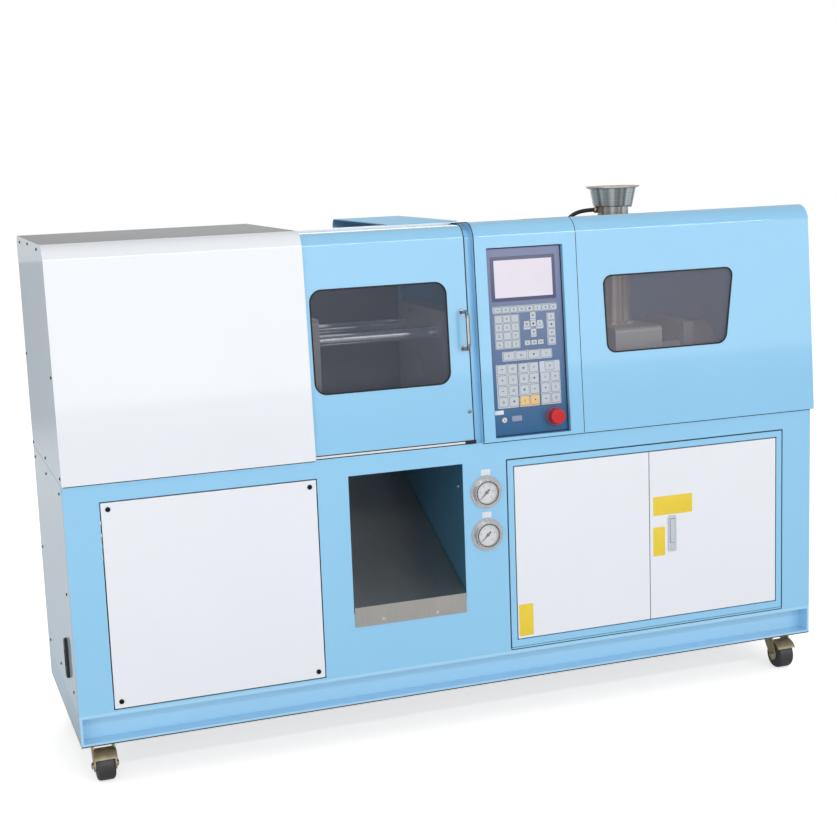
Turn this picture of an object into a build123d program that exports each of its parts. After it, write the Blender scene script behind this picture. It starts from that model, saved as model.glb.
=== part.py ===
import math
import os

from build123d import *

os.makedirs("parts", exist_ok=True)

# Machine: lengths in millimetres, angles in degrees. Offsets named _x run from the base's
# left end, _y from the base's front, and heights named _z from the foot of the rails.
base_length = 2000
base_depth = 600
castor_height = 105
rail_height = 78
body_height = 554
cover_height = 550
cover_overhang = 7
cover_lean = 3.78
cover_bend = 45
cover_back_bend = 20
cover_sheet = 2.5
roof_fall = 3
body_sheet = 2.5
panel_sheet = 2
overrun = 6
seam_gap = 1.5
running_gap = 0.05
rest_gap = 0.3
front_reach = 22.5

# Rails: outward channels along front and back, closed by a channel at each end
rail_flange = 40
rail_web = 6
rail_flange_sheet = 8
corner_plate_sheet = 6

# Castors
castor_x = 58
castor_y = 80
castor_trail = 28
castor_plate_side = 90
castor_plate_sheet = 4
castor_plate_corner = 6
race_radius = 30
race_height = 9
fork_crown_radius = 33
fork_crown_sheet = 5
fork_sheet = 3.5
fork_gap = 47
fork_leg_top = 52
fork_leg_foot = 30
kingpin_radius = 8
axle_radius = 6
wheel_radius = 37.5
wheel_width = 44
wheel_rounding = 9
wheel_hub_width = 46.4
wheel_hub_radius = 13

# Bed plate on posts
bed_sheet = 16
bed_inset = 3
drop_x = 690
drop_length = 288
drop_y = 110
drop_back_margin = 50
post_side = 40
post_wall = 3
post_left_inset = 22
post_right_inset = 20
post_left_gap = 33
post_right_gap = 21
post_front_y = 82
post_back_inset = 12
floor_sheet = 2

# Base front: access panel, chute mouth, gauges, electrical cabinet
end_return = 20
access_x = 85
access_width = 518
access_z = 85
access_height = 499
access_gap = 3
access_return = 16
tab_side = 34
tab_sheet = 3
mouth_x = 685
mouth_width = 300
mouth_z = 236
mouth_height = 348
chute_lip_z = 200
chute_lip_top_z = 250
chute_side_gap = 1.5
chute_slope = 26.8
chute_back_margin = 44
chute_sheet = 2
chute_wall = 3
gauge_mouth_gap = 61
gauge_zs = (505, 395)
gauge_flange_radius = 42.5
gauge_flange_sheet = 2
gauge_bezel_radius = 32.5
gauge_case_radius = 30
gauge_case_depth = 32
gauge_stand = 13
gauge_pocket_radius = 28.5
gauge_pocket_depth = 9
gauge_lens_sheet = 1.5
gauge_hole_gap = 0.5
arbor_radius = 1.5
arbor_length = 5
pointer_hub_radius = 4
pointer_sheet = 1.2
pointer_tip = 24
pointer_tail = 11
pointer_width = 2.6
pointer_lift = 2

# Electrical cabinet
cabinet_gauge_gap = 58
cabinet_end_margin = 88
cabinet_z = 87
cabinet_height = 495
cabinet_depth = 260
cabinet_border = 18
cabinet_lip_depth = 14
cabinet_lip_sheet = 4
door_gap = 3
door_return = 14
hinge_inset = 5
hinge_pin_radius = 2
hinge_pin_reach = 3
latch_inset = 66
latch_z = 335
latch_width = 24
latch_height = 98
latch_flange_sheet = 3
latch_corner = 6
latch_body_width = 18
latch_body_height = 84
latch_body_depth = 20
latch_pocket_width = 15
latch_pocket_height = 66
latch_pocket_depth = 9
latch_pocket_rise = 8
paddle_gap = 1.2
paddle_sheet = 5
paddle_proud = 1.5
paddle_round_share = 0.45
paddle_pin_radius = 1.5
paddle_pin_inset = 3.2
mount_plate_inset = 30
mount_plate_sheet = 3
mount_plate_stand = 20
module_depth = 90
duct_width = 40
duct_depth = 50
module_shares = (
    (0.06, 0.20, 0.12, 0.86),
    (0.24, 0.36, 0.50, 0.86),
    (0.40, 0.47, 0.50, 0.86),
    (0.48, 0.55, 0.50, 0.86),
    (0.56, 0.63, 0.50, 0.86),
    (0.70, 0.94, 0.46, 0.86),
    (0.24, 0.94, 0.10, 0.26),
)
duct_shares = (0.38, 0.94)

# Rear and right sheets of the base
louvre_rows = 7
louvre_columns = 2
louvre_length = 180
louvre_height = 10
louvre_pitch = 34
louvre_x = 330
louvre_spacing = 240
louvre_z = 330

# Hydraulic power unit
tank_x = 66
tank_length = 540
tank_y = 126
tank_back_margin = 74
tank_height = 280
tank_sheet = 3
lid_sheet = 6
motor_radius = 88
motor_length = 250
motor_x = 130
motor_lift = 20
motor_fin_height = 6
motor_fins = 16
motor_fin_sheet = 5
motor_cowl_length = 55
pump_length = 120
pump_radius = 55
motor_y = 260
motor_foot_width = 150
motor_foot_length = 170
manifold_length = 150
manifold_depth = 90
manifold_height = 70
manifold_x = 400
manifold_back_margin = 26
valve_radius = 20
valve_height = 62
valve_pitch = 46
valve_count = 3

# Oil level gauge on the lower left end panel
oil_gauge_y = 146
oil_gauge_z = 180
oil_gauge_height = 101
oil_gauge_width = 34
oil_gauge_reach = 7
oil_gauge_chamfer = 2.3
oil_gauge_slot_width = 14
oil_gauge_slot_height = 52
oil_gauge_slot_depth = 4

# Upper covers
clamp_cover_length = 604.5
door_lap = 14.5
door_right_x = 1021
door_inset = 8
door_sheet = 2
door_lift = 10
door_roof_y = 128
door_return_depth = 16
window_margin = 12
window_width = 349.5
window_z = 788
window_height = 252
window_corner = 30
pane_sheet = 3
pane_lap = 14
handle_x = 1006
handle_z = 917
handle_span = 92
handle_stand = 34
handle_radius = 5
handle_bend = 14
handle_foot_radius = 8
handle_foot_height = 3
top_rail_y = 131
top_rail_width = 16
top_rail_height = 14
bottom_rail_width = 12
bottom_rail_y = 1
roof_piece_x = 853
guard_drop = 62
post_strip_x = 1026
post_strip_inset = 18
column_x = 1042
column_length = 278
panel_x = 1179
panel_width = 208
panel_z = 878
panel_height = 475
panel_recess = 13
panel_plate = 4
screen_rise = 158
screen_shift = -2
screen_width = 158
screen_height = 94
screen_sheet = 1.2
key_sheet = 0.8
stop_shift = 64
stop_drop = 197
stop_radius = 20
stop_cap_height = 13
stop_crown = 5
stop_stem_radius = 11
stop_travel = 5
stop_spare = 1
stop_collar_radius = 21
stop_collar_height = 11
cover_gap = 1
injection_window_x = 1582
injection_window_z = 930
injection_window_top_shares = (-0.5, 0.5)
injection_window_bottom_shares = (-0.489, 0.423)
injection_window_width = 380
injection_window_height = 198
injection_window_corner = 24
hopper_slot_x = 1414
hopper_slot_length = 272
hopper_slot_width = 112

# Membrane keys in blocks: middle and size as shares of the plate, then columns and rows
key_margin_share = 0.84
key_block_shares = (
    (0.00, 0.170, 0.84, 0.034, 8, 1),
    (-0.256, 0.055, 0.325, 0.180, 3, 4),
    (0.331, 0.055, 0.113, 0.172, 1, 4),
    (0.091, 0.088, 0.262, 0.038, 3, 1),
    (0.091, 0.132, 0.087, 0.040, 1, 1),
    (0.091, 0.044, 0.087, 0.040, 1, 1),
    (0.091, -0.012, 0.262, 0.030, 3, 1),
    (-0.005, -0.074, 0.660, 0.050, 4, 1),
    (-0.282, -0.230, 0.280, 0.232, 2, 4),
    (0.000, -0.230, 0.276, 0.232, 2, 4),
    (0.280, -0.259, 0.272, 0.174, 2, 3),
    (0.280, -0.143, 0.140, 0.052, 1, 1),
)

# Clamp unit
axis_z = 798
platen_width = 340
platen_height = 325
platen_rounding = 12
platen_lift = 8
tie_radius = 15
tie_spacing_y = 240
tie_spacing_z = 200
tie_end = 30
tie_nut_radius = 26
tie_nut_length = 25
rear_platen_x = 80
rear_platen_length = 70
cylinder_radius = 75
cylinder_length = 280
cylinder_bore_radius = 50
cylinder_end_wall = 12
ram_radius = 35
piston_length = 30
piston_start = 10
moving_platen_x = 617
platen_length = 50
ejector_bar_x = 560
ejector_bar_length = 15
ejector_bar_width = 190
ejector_bar_height = 110
ejector_rod_radius = 7
ejector_rod_spacing = 120
ejector_rod_back = 4
fixed_platen_x = 990
locating_radius = 30
locating_depth = 15
nozzle_hole_radius = 22
mould_bolt_radius = 6
mould_bolt_depth = 30
mould_bolt_spacing_y = 140
mould_bolt_spacing_z = 280

# Injection unit
guide_radius = 15
guide_spacing = 150
guide_z = 690
guide_end_x = 1930
guide_support_length = 20
guide_support_width = 290
guide_support_top = 24
feed_x = 1500
feed_length = 140
feed_width = 270
feed_foot_z = 668
feed_height = 202
throat_radius = 20
barrel_radius = 32
barrel_x = 1070
nozzle_radius = 18
nozzle_tip_x = 1008
nozzle_tip_radius = 5
nozzle_cone = 12
screw_radius = 14
screw_tip_gap = 30
screw_tip_length = 20
band_radius = 40
band_length = 56
band_pitch = 72
band_count = 4
band_x = 1100
rod_radius = 20
rod_spacing = 150
rod_engagement = 120
rod_spare = 10
injection_plate_x = 1720
injection_plate_length = 30
injection_plate_width = 220
injection_plate_height = 150
screw_motor_radius = 60
screw_motor_length = 100
screw_motor_rounding = 8

# Hopper and its hose
hopper_x = 1564
hopper_rim_z = 1245
hopper_rim_radius = 74
hopper_rim_roll = 3
hopper_mouth_radius = 64
hopper_neck_radius = 54
hopper_neck_z = 1193
hopper_tube_radius = 43
hopper_wall = 1.5
hopper_flange_radius = 58
hopper_flange_sheet = 8
hopper_cone_height = 60
hose_radius = 5.5
fitting_radius = 6.8
fitting_length = 14
fitting_drop = 10
hose_foot_z = 852
hose_route = (
    (0, 0),
    (-36, 0),
    (-72, -14),
    (-98, -48),
    (-112, -100),
    (-114, -158),
    (-108, -216),
    (-100, -274),
    (-88, -308),
    (-56, -331),
    (-21, -331),
)
hose_bend_share = 0.45

# Places worked out from the sizes above
axis_y = base_depth / 2
drop_depth = base_depth - drop_y - drop_back_margin
post_xs = (
    post_left_inset,
    mouth_x - post_left_gap - post_side,
    mouth_x + mouth_width + post_right_gap,
    base_length - post_right_inset - post_side,
)
post_back_y = base_depth - post_back_inset - post_side
chute_back_y = base_depth - chute_back_margin
gauge_x = mouth_x + mouth_width + gauge_mouth_gap
cabinet_x = gauge_x + cabinet_gauge_gap
cabinet_width = base_length - cabinet_x - cabinet_end_margin
latch_x = cabinet_x + cabinet_width / 2 + latch_inset
tank_depth = base_depth - tank_y - tank_back_margin
manifold_y = tank_y + tank_depth - manifold_depth - manifold_back_margin
door_left_x = clamp_cover_length - door_lap
window_x = clamp_cover_length + window_margin
x_left = (oil_gauge_reach - base_length - cover_overhang) / 2
x_right = x_left + base_length
y_front = (front_reach - base_depth) / 2
y_back = y_front + base_depth
z_rail = castor_height
z_body = z_rail + rail_height
z_deck = z_body + body_height
z_roof = z_deck + cover_height
z_bed = z_deck - bed_sheet
y_axis = y_front + axis_y
z_axis = z_rail + axis_z
lean_cos = math.cos(math.radians(cover_lean))
lean_sin = math.sin(math.radians(cover_lean))
lean_slope = math.tan(math.radians(cover_lean))
fall_slope = math.tan(math.radians(roof_fall))
floor_top = z_body + floor_sheet
castor_xs = (x_left + castor_x, x_right - castor_x)
castor_ys = (y_front + castor_y, y_back - castor_y)
plate_foot = z_rail - castor_plate_sheet - race_height
fork_top = plate_foot - rest_gap


# Builders shared by the pieces
def block(x0, x1, y0, y1, z0, z1, mode=Mode.ADD):
    """A box between two corners."""
    with Locations(((x0 + x1) / 2, (y0 + y1) / 2, (z0 + z1) / 2)):
        Box(x1 - x0, y1 - y0, z1 - z0, mode=mode)


def rod(x0, x1, y, z, radius, mode=Mode.ADD):
    """A round bar along X."""
    with BuildSketch(Plane.YZ.offset(x0)) as section:
        with Locations((y, z)):
            Circle(radius)
    extrude(section.sketch, amount=x1 - x0, mode=mode)


def post(x, y, z0, z1, radius, mode=Mode.ADD):
    """A round bar along Z."""
    with BuildSketch(Plane.XY.offset(z0)) as section:
        with Locations((x, y)):
            Circle(radius)
    extrude(section.sketch, amount=z1 - z0, mode=mode)


def disc(x, z, y0, y1, radius, mode=Mode.ADD):
    """A round plate that faces the front, from y0 back to y1."""
    with BuildSketch(Plane.XZ.offset(-y0)) as section:
        with Locations((x, z)):
            Circle(radius)
    extrude(section.sketch, amount=y0 - y1, mode=mode)


def front_at(z, inset=0):
    """Where the leaning front of the covers stands at a height."""
    return y_front - cover_overhang + (z - z_deck) * lean_slope + inset / lean_cos


def front_plane(x, z, inset=0):
    """A plane on the leaning front, with its normal outwards."""
    return Plane(origin=(x, front_at(z, inset), z), x_dir=(1, 0, 0), z_dir=(0, -lean_cos, lean_sin))


def cover_outline(x, inset, bottom, slope=0):
    """The covers' section: a leaning front, a bend, a roof and an upright back."""
    top = z_roof - inset
    back = y_back - inset
    back_top = top - (back - front_at(top, inset)) * slope
    with BuildSketch(Plane.YZ.offset(x)) as outline:
        with BuildLine():
            Polyline(
                (front_at(bottom, inset), bottom),
                (front_at(top, inset), top),
                (back, back_top),
                (back, bottom),
                close=True,
            )
        make_face()
        fillet(outline.vertices().sort_by(Axis.X)[1], cover_bend - inset)
        rear_corner = outline.vertices().sort_by(Axis.X)[-2:].sort_by(Axis.Y)[-1]
        fillet(rear_corner, max(cover_back_bend - inset, cover_sheet))
    return outline.sketch


def cover_shell(x0, x1, inset, thick, slope=0):
    """A bent sheet over the machine, open below and at both ends."""
    extrude(cover_outline(x0, inset, z_deck, slope), amount=x1 - x0)
    hollow = cover_outline(x0 - overrun, inset + thick, z_deck - overrun, slope)
    extrude(hollow, amount=x1 - x0 + 2 * overrun, mode=Mode.SUBTRACT)


def cover_band(x, inset, depth, slope=0):
    """The section of a sheet of the given depth that follows the covers' outline."""
    outer = cover_outline(x, inset, z_deck, slope)
    return outer - cover_outline(x, inset + depth, z_deck - overrun, slope)


def cover_wall(x0, x1, inset, slope=0):
    """An upright wall across the covers' section."""
    extrude(cover_outline(x0, inset, z_deck, slope), amount=x1 - x0)


def keep(piece, name):
    """Label a finished piece and write it to its file."""
    piece.part.label = name
    export_step(piece.part, f"parts/{name}.step")


# Base rails, with the plates that the castors bolt to
with BuildPart() as base_rails:
    web_front = y_front + rail_flange
    web_back = y_back - rail_flange
    for web_y, tip_y in ((web_front, y_front), (web_back, y_back)):
        inner_y = web_y + math.copysign(rail_web, web_y - tip_y)
        block(x_left, x_right, min(web_y, inner_y), max(web_y, inner_y), z_rail, z_body)
        for flange_z in (z_rail, z_body - rail_flange_sheet):
            block(
                x_left, x_right, min(web_y, tip_y), max(web_y, tip_y),
                flange_z, flange_z + rail_flange_sheet,
            )
    for end_x, sense in ((x_left, 1), (x_right, -1)):
        web_x = end_x + sense * rail_web
        flange_x = end_x + sense * rail_flange
        block(min(end_x, web_x), max(end_x, web_x), y_front, y_back, z_rail, z_body)
        for flange_z in (z_rail, z_body - rail_flange_sheet):
            block(
                min(end_x, flange_x), max(end_x, flange_x), web_front, web_back,
                flange_z, flange_z + rail_flange_sheet,
            )
    for plate_x in castor_xs:
        for plate_y in castor_ys:
            reach = castor_plate_side / 2
            block(
                plate_x - reach, plate_x + reach, plate_y - reach, plate_y + reach,
                z_rail, z_rail + corner_plate_sheet,
            )
            with BuildSketch(Plane.XY.offset(z_rail - castor_plate_sheet)):
                with Locations((plate_x, plate_y)):
                    RectangleRounded(castor_plate_side, castor_plate_side, castor_plate_corner)
            extrude(amount=castor_plate_sheet)
            post(plate_x, plate_y, plate_foot, z_rail, race_radius)
            post(
                plate_x, plate_y, plate_foot - overrun, z_rail,
                kingpin_radius + running_gap, mode=Mode.SUBTRACT,
            )
keep(base_rails, "base_rails")


# Castors: a swivelling fork with a kingpin, and a wheel between its legs
def make_fork(x, y):
    with BuildPart() as fork:
        axle_y = y - castor_trail
        post(x, y, fork_top - fork_crown_sheet, fork_top, fork_crown_radius)
        post(x, y, fork_top, z_rail - castor_plate_sheet, kingpin_radius)
        with BuildSketch(Plane.YZ.offset(x - fork_gap / 2 - fork_sheet)) as side:
            with BuildLine():
                Polyline(
                    (y - fork_leg_top / 2, fork_top),
                    (y + fork_leg_top / 2, fork_top),
                    (axle_y + fork_leg_foot / 2, wheel_radius),
                    (axle_y - fork_leg_foot / 2, wheel_radius),
                    close=True,
                )
            make_face()
            with Locations((axle_y, wheel_radius)):
                Circle(fork_leg_foot / 2)
        for leg_x in (0, fork_gap + fork_sheet):
            extrude(side.sketch.moved(Location((leg_x, 0, 0))), amount=fork_sheet)
        rod(
            x - fork_gap / 2 - fork_sheet, x + fork_gap / 2 + fork_sheet,
            axle_y, wheel_radius, axle_radius,
        )
    return fork


def make_wheel(x, y):
    axle_y = y - castor_trail
    with BuildPart() as wheel:
        with BuildSketch(Plane.YZ.offset(x - wheel_width / 2)):
            with Locations((axle_y, wheel_radius)):
                Circle(wheel_radius)
        extrude(amount=wheel_width)
        fillet(wheel.edges().filter_by(GeomType.CIRCLE), wheel_rounding)
        rod(x - wheel_hub_width / 2, x + wheel_hub_width / 2, axle_y, wheel_radius, wheel_hub_radius)
        rod(
            x - wheel_width, x + wheel_width, axle_y, wheel_radius,
            axle_radius + running_gap, mode=Mode.SUBTRACT,
        )
    return wheel


corner_names = ("front_left", "rear_left", "front_right", "rear_right")
corner_places = [(x, y) for x in castor_xs for y in castor_ys]
for corner, (corner_x, corner_y) in zip(corner_names, corner_places):
    keep(make_fork(corner_x, corner_y), f"castor_fork_{corner}")
    keep(make_wheel(corner_x, corner_y), f"castor_wheel_{corner}")

# Base floor with the hollow posts that carry the bed plate
with BuildPart() as base_frame:
    block(
        x_left + body_sheet, x_right - body_sheet, y_front + body_sheet, y_back - body_sheet,
        z_body, floor_top,
    )
    for post_x in post_xs:
        for post_y in (post_front_y, post_back_y):
            post_left = x_left + post_x
            post_near = y_front + post_y
            block(
                post_left, post_left + post_side, post_near, post_near + post_side,
                floor_top, z_bed,
            )
            block(
                post_left + post_wall, post_left + post_side - post_wall,
                post_near + post_wall, post_near + post_side - post_wall,
                floor_top, z_bed, mode=Mode.SUBTRACT,
            )
keep(base_frame, "base_frame")

# Bed plate, with the hole that moulded parts drop through
with BuildPart() as bed_plate:
    block(
        x_left + bed_inset, x_right - bed_inset, y_front + bed_inset, y_back - bed_inset,
        z_bed, z_deck,
    )
    block(
        x_left + drop_x, x_left + drop_x + drop_length,
        y_front + drop_y, y_front + drop_y + drop_depth,
        z_bed - overrun, z_deck + overrun, mode=Mode.SUBTRACT,
    )
keep(bed_plate, "bed_plate")

# Base front: one sheet with its openings, a return at each end and tabs behind the panel
access_left = x_left + access_x
access_foot = z_rail + access_z
mouth_left = x_left + mouth_x
mouth_foot = z_rail + mouth_z
cabinet_left = x_left + cabinet_x
cabinet_foot = z_rail + cabinet_z
with BuildPart() as base_front:
    skin_back = y_front + body_sheet
    block(x_left, x_right, y_front, skin_back, z_body, z_deck)
    for return_x in (x_left, x_right - body_sheet):
        block(return_x, return_x + body_sheet, y_front, y_front + end_return, z_body, z_bed)
    block(
        access_left - access_gap, access_left + access_width + access_gap,
        y_front - overrun, skin_back,
        access_foot - access_gap, access_foot + access_height + access_gap, mode=Mode.SUBTRACT,
    )
    block(
        mouth_left, mouth_left + mouth_width, y_front - overrun, skin_back,
        mouth_foot, mouth_foot + mouth_height, mode=Mode.SUBTRACT,
    )
    block(
        cabinet_left - seam_gap, cabinet_left + cabinet_width + seam_gap,
        y_front - overrun, skin_back,
        cabinet_foot - seam_gap, cabinet_foot + cabinet_height + seam_gap, mode=Mode.SUBTRACT,
    )
    for gauge_z in gauge_zs:
        disc(
            x_left + gauge_x, z_rail + gauge_z, y_front - overrun, skin_back,
            gauge_case_radius + gauge_hole_gap, mode=Mode.SUBTRACT,
        )
    tab_y = y_front + access_return
    for tab_x, sense in ((access_left, 1), (access_left + access_width, -1)):
        outer_x = tab_x - sense * (access_gap + tab_sheet)
        inner_x = tab_x + sense * tab_side
        for tab_z in (access_foot, access_foot + access_height - tab_side):
            block(
                min(outer_x, inner_x), max(outer_x, inner_x),
                tab_y, tab_y + tab_sheet, tab_z, tab_z + tab_side,
            )
            stem_x = tab_x - sense * access_gap
            block(
                min(outer_x, stem_x), max(outer_x, stem_x),
                skin_back, tab_y, tab_z, tab_z + tab_side,
            )
keep(base_front, "base_front")

# Access panel: a folded tray that seats on the tabs
with BuildPart() as access_panel:
    block(
        access_left, access_left + access_width, y_front, y_front + access_return,
        access_foot, access_foot + access_height,
    )
    offset(
        amount=-panel_sheet, openings=access_panel.faces().sort_by(Axis.Y)[-1],
        kind=Kind.INTERSECTION,
    )
    seat_reach = tab_side - panel_sheet
    for seat_x in (access_left + panel_sheet, access_left + access_width - tab_side):
        for seat_z in (access_foot + panel_sheet, access_foot + access_height - tab_side):
            block(
                seat_x, seat_x + seat_reach, tab_y - panel_sheet, tab_y,
                seat_z, seat_z + seat_reach,
            )
keep(access_panel, "access_panel")

# Rear sheet with louvres, folded round the right end
with BuildPart() as base_wrap:
    block(x_left, x_right, y_back - body_sheet, y_back, z_body, z_deck)
    block(
        x_right - body_sheet, x_right, y_front + end_return + seam_gap, y_back, z_body, z_deck,
    )
    louvre_centre = (x_left + louvre_x, z_rail + louvre_z)
    with BuildSketch(Plane.XZ.offset(-y_back - overrun)):
        with Locations(louvre_centre):
            with GridLocations(louvre_spacing, louvre_pitch, louvre_columns, louvre_rows):
                SlotOverall(louvre_length, louvre_height)
    extrude(amount=body_sheet + 2 * overrun, mode=Mode.SUBTRACT)
keep(base_wrap, "base_wrap")

# Lower left end panel, between the front's return and the rear sheet
with BuildPart() as end_panel_lower:
    block(
        x_left, x_left + panel_sheet, y_front + end_return + seam_gap,
        y_back - body_sheet - seam_gap, z_body, z_deck - seam_gap,
    )
    block(
        x_left + panel_sheet, x_left + bed_inset, y_front + end_return + seam_gap,
        y_back - body_sheet - seam_gap, z_bed, z_deck - seam_gap,
    )
keep(end_panel_lower, "end_panel_lower")

# Oil level gauge: a block with a sight slot
with BuildPart() as oil_level_gauge:
    gauge_mid = z_rail + oil_gauge_z
    with BuildSketch(Plane.YZ.offset(x_left - oil_gauge_reach)):
        with Locations((y_front + oil_gauge_y, gauge_mid)):
            SlotOverall(oil_gauge_height, oil_gauge_width, rotation=90)
    extrude(amount=oil_gauge_reach)
    chamfer(oil_level_gauge.faces().sort_by(Axis.X)[0].edges(), oil_gauge_chamfer)
    with BuildSketch(Plane.YZ.offset(x_left - oil_gauge_reach)):
        with Locations((y_front + oil_gauge_y, gauge_mid)):
            SlotOverall(oil_gauge_slot_height, oil_gauge_slot_width, rotation=90)
    extrude(amount=oil_gauge_slot_depth, mode=Mode.SUBTRACT)
keep(oil_level_gauge, "oil_level_gauge")

# Chute: one bent plate from the lip up to the back, between two side walls
chute_rise = math.tan(math.radians(chute_slope))
lip_top = z_rail + chute_lip_top_z
with BuildPart() as chute:
    sheet_drop = chute_sheet / math.cos(math.radians(chute_slope))
    back_run = y_front + chute_back_y
    back_z = lip_top + chute_back_y * chute_rise
    with BuildSketch(Plane.YZ.offset(mouth_left + chute_side_gap)):
        with BuildLine():
            Polyline(
                (y_front - chute_sheet, z_rail + chute_lip_z),
                (y_front, z_rail + chute_lip_z),
                (y_front, lip_top - sheet_drop),
                (back_run, back_z - sheet_drop),
                (back_run, back_z),
                (y_front - chute_sheet, lip_top),
                close=True,
            )
        make_face()
    extrude(amount=mouth_width - 2 * chute_side_gap)
keep(chute, "chute")

with BuildPart() as chute_walls:
    for wall_x in (mouth_left - chute_wall, mouth_left + mouth_width):
        block(
            wall_x, wall_x + chute_wall, skin_back, y_front + chute_back_y, floor_top, z_bed,
        )
keep(chute_walls, "chute_walls")

# Oil tank and the power unit on its lid
tank_left = x_left + tank_x
tank_near = y_front + tank_y
tank_top = floor_top + tank_height
with BuildPart() as oil_tank:
    block(tank_left, tank_left + tank_length, tank_near, tank_near + tank_depth, floor_top, tank_top)
    offset(
        amount=-tank_sheet, openings=oil_tank.faces().sort_by(Axis.Z)[-1], kind=Kind.INTERSECTION,
    )
keep(oil_tank, "oil_tank")

lid_top = tank_top + lid_sheet
with BuildPart() as power_unit:
    block(tank_left, tank_left + tank_length, tank_near, tank_near + tank_depth, tank_top, lid_top)
    motor_left = x_left + motor_x
    motor_mid = y_front + motor_y
    motor_z = lid_top + motor_lift + motor_radius + motor_fin_height
    rod(motor_left, motor_left + motor_length, motor_mid, motor_z, motor_radius)
    with BuildSketch(Plane.YZ.offset(motor_left + motor_cowl_length)):
        with Locations((motor_mid, motor_z)):
            with PolarLocations(motor_radius, motor_fins):
                Rectangle(2 * motor_fin_height, motor_fin_sheet)
    extrude(amount=motor_length - 2 * motor_cowl_length)
    foot_left = motor_left + (motor_length - motor_foot_length) / 2
    block(
        foot_left, foot_left + motor_foot_length,
        motor_mid - motor_foot_width / 2, motor_mid + motor_foot_width / 2,
        lid_top, motor_z - motor_radius / 2,
    )
    rod(
        motor_left + motor_length, motor_left + motor_length + pump_length,
        motor_mid, motor_z, pump_radius,
    )
    manifold_left = x_left + manifold_x
    manifold_near = y_front + manifold_y
    manifold_top = lid_top + manifold_height
    block(
        manifold_left, manifold_left + manifold_length,
        manifold_near, manifold_near + manifold_depth, lid_top, manifold_top,
    )
    for valve in range(valve_count):
        post(
            manifold_left + manifold_length / 2 + (valve - (valve_count - 1) / 2) * valve_pitch,
            manifold_near + manifold_depth / 2, manifold_top, manifold_top + valve_height, valve_radius,
        )
keep(power_unit, "power_unit")


# Pressure gauges: flanged case with a dial pocket and arbor, lens and pointer
def gauge_pocket_floor():
    return y_front - gauge_stand + gauge_pocket_depth


with BuildPart() as gauge_cases:
    for gauge_z in gauge_zs:
        mid_x = x_left + gauge_x
        mid_z = z_rail + gauge_z
        disc(mid_x, mid_z, y_front - gauge_flange_sheet, y_front, gauge_flange_radius)
        disc(mid_x, mid_z, y_front - gauge_stand, y_front, gauge_bezel_radius)
        disc(mid_x, mid_z, y_front, y_front + gauge_case_depth, gauge_case_radius)
        pocket = gauge_pocket_floor()
        disc(
            mid_x, mid_z, y_front - gauge_stand - overrun, pocket, gauge_pocket_radius,
            mode=Mode.SUBTRACT,
        )
        disc(mid_x, mid_z, pocket - arbor_length, pocket, arbor_radius)
keep(gauge_cases, "gauge_cases")

with BuildPart() as gauge_lenses:
    for gauge_z in gauge_zs:
        lens_front = y_front - gauge_stand + gauge_lens_sheet
        disc(
            x_left + gauge_x, z_rail + gauge_z, lens_front, lens_front + gauge_lens_sheet,
            gauge_pocket_radius,
        )
keep(gauge_lenses, "gauge_lenses")

for gauge_name, gauge_z in zip(("upper", "lower"), gauge_zs):
    mid_x = x_left + gauge_x
    mid_z = z_rail + gauge_z
    pointer_back = gauge_pocket_floor() - pointer_lift
    with BuildPart() as pointer:
        with BuildSketch(Plane.XZ.offset(-pointer_back)):
            with BuildLine():
                tip = pointer_tip * math.sqrt(0.5)
                tail = pointer_tail * math.sqrt(0.5)
                half = pointer_width / 2
                Polyline(
                    (mid_x - tip, mid_z - tip),
                    (mid_x - half, mid_z + half),
                    (mid_x + tail - half, mid_z + tail + half),
                    (mid_x + tail + half, mid_z + tail - half),
                    (mid_x + half, mid_z - half),
                    close=True,
                )
            make_face()
            with Locations((mid_x, mid_z)):
                Circle(pointer_hub_radius)
                Circle(arbor_radius + running_gap, mode=Mode.SUBTRACT)
        extrude(amount=pointer_sheet)
    keep(pointer, f"gauge_pointer_{gauge_name}")

# Electrical cabinet: a folded box with a border round the doors and pivot lips
cabinet_right = cabinet_left + cabinet_width
cabinet_top = cabinet_foot + cabinet_height
opening_left = cabinet_left + cabinet_border
opening_right = cabinet_right - cabinet_border
opening_foot = cabinet_foot + cabinet_border
opening_top = cabinet_top - cabinet_border
with BuildPart() as cabinet_box:
    block(cabinet_left, cabinet_right, y_front, y_front + cabinet_depth, cabinet_foot, cabinet_top)
    block(
        cabinet_left + panel_sheet, cabinet_right - panel_sheet,
        y_front + panel_sheet, y_front + cabinet_depth - panel_sheet,
        cabinet_foot + panel_sheet, cabinet_top - panel_sheet, mode=Mode.SUBTRACT,
    )
    block(
        opening_left, opening_right, y_front - overrun, y_front + panel_sheet,
        opening_foot, opening_top, mode=Mode.SUBTRACT,
    )
    for lip_z in (opening_foot - cabinet_lip_sheet, opening_top):
        block(
            cabinet_left, cabinet_right, y_front, y_front + cabinet_lip_depth,
            lip_z, lip_z + cabinet_lip_sheet,
        )
    door_left_edge = opening_left + door_gap
    door_right_edge = opening_right - door_gap
    hinge_xs = (door_left_edge + hinge_inset, door_right_edge - hinge_inset)
    hinge_y = y_front + hinge_inset
    for hinge_x in hinge_xs:
        post(hinge_x, hinge_y, cabinet_foot, cabinet_top, hinge_pin_radius, mode=Mode.SUBTRACT)
    for foot_side in (cabinet_left, cabinet_right - post_side):
        block(
            foot_side, foot_side + post_side, y_front + cabinet_depth - post_side,
            y_front + cabinet_depth, floor_top, cabinet_foot,
        )
keep(cabinet_box, "cabinet_box")

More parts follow.
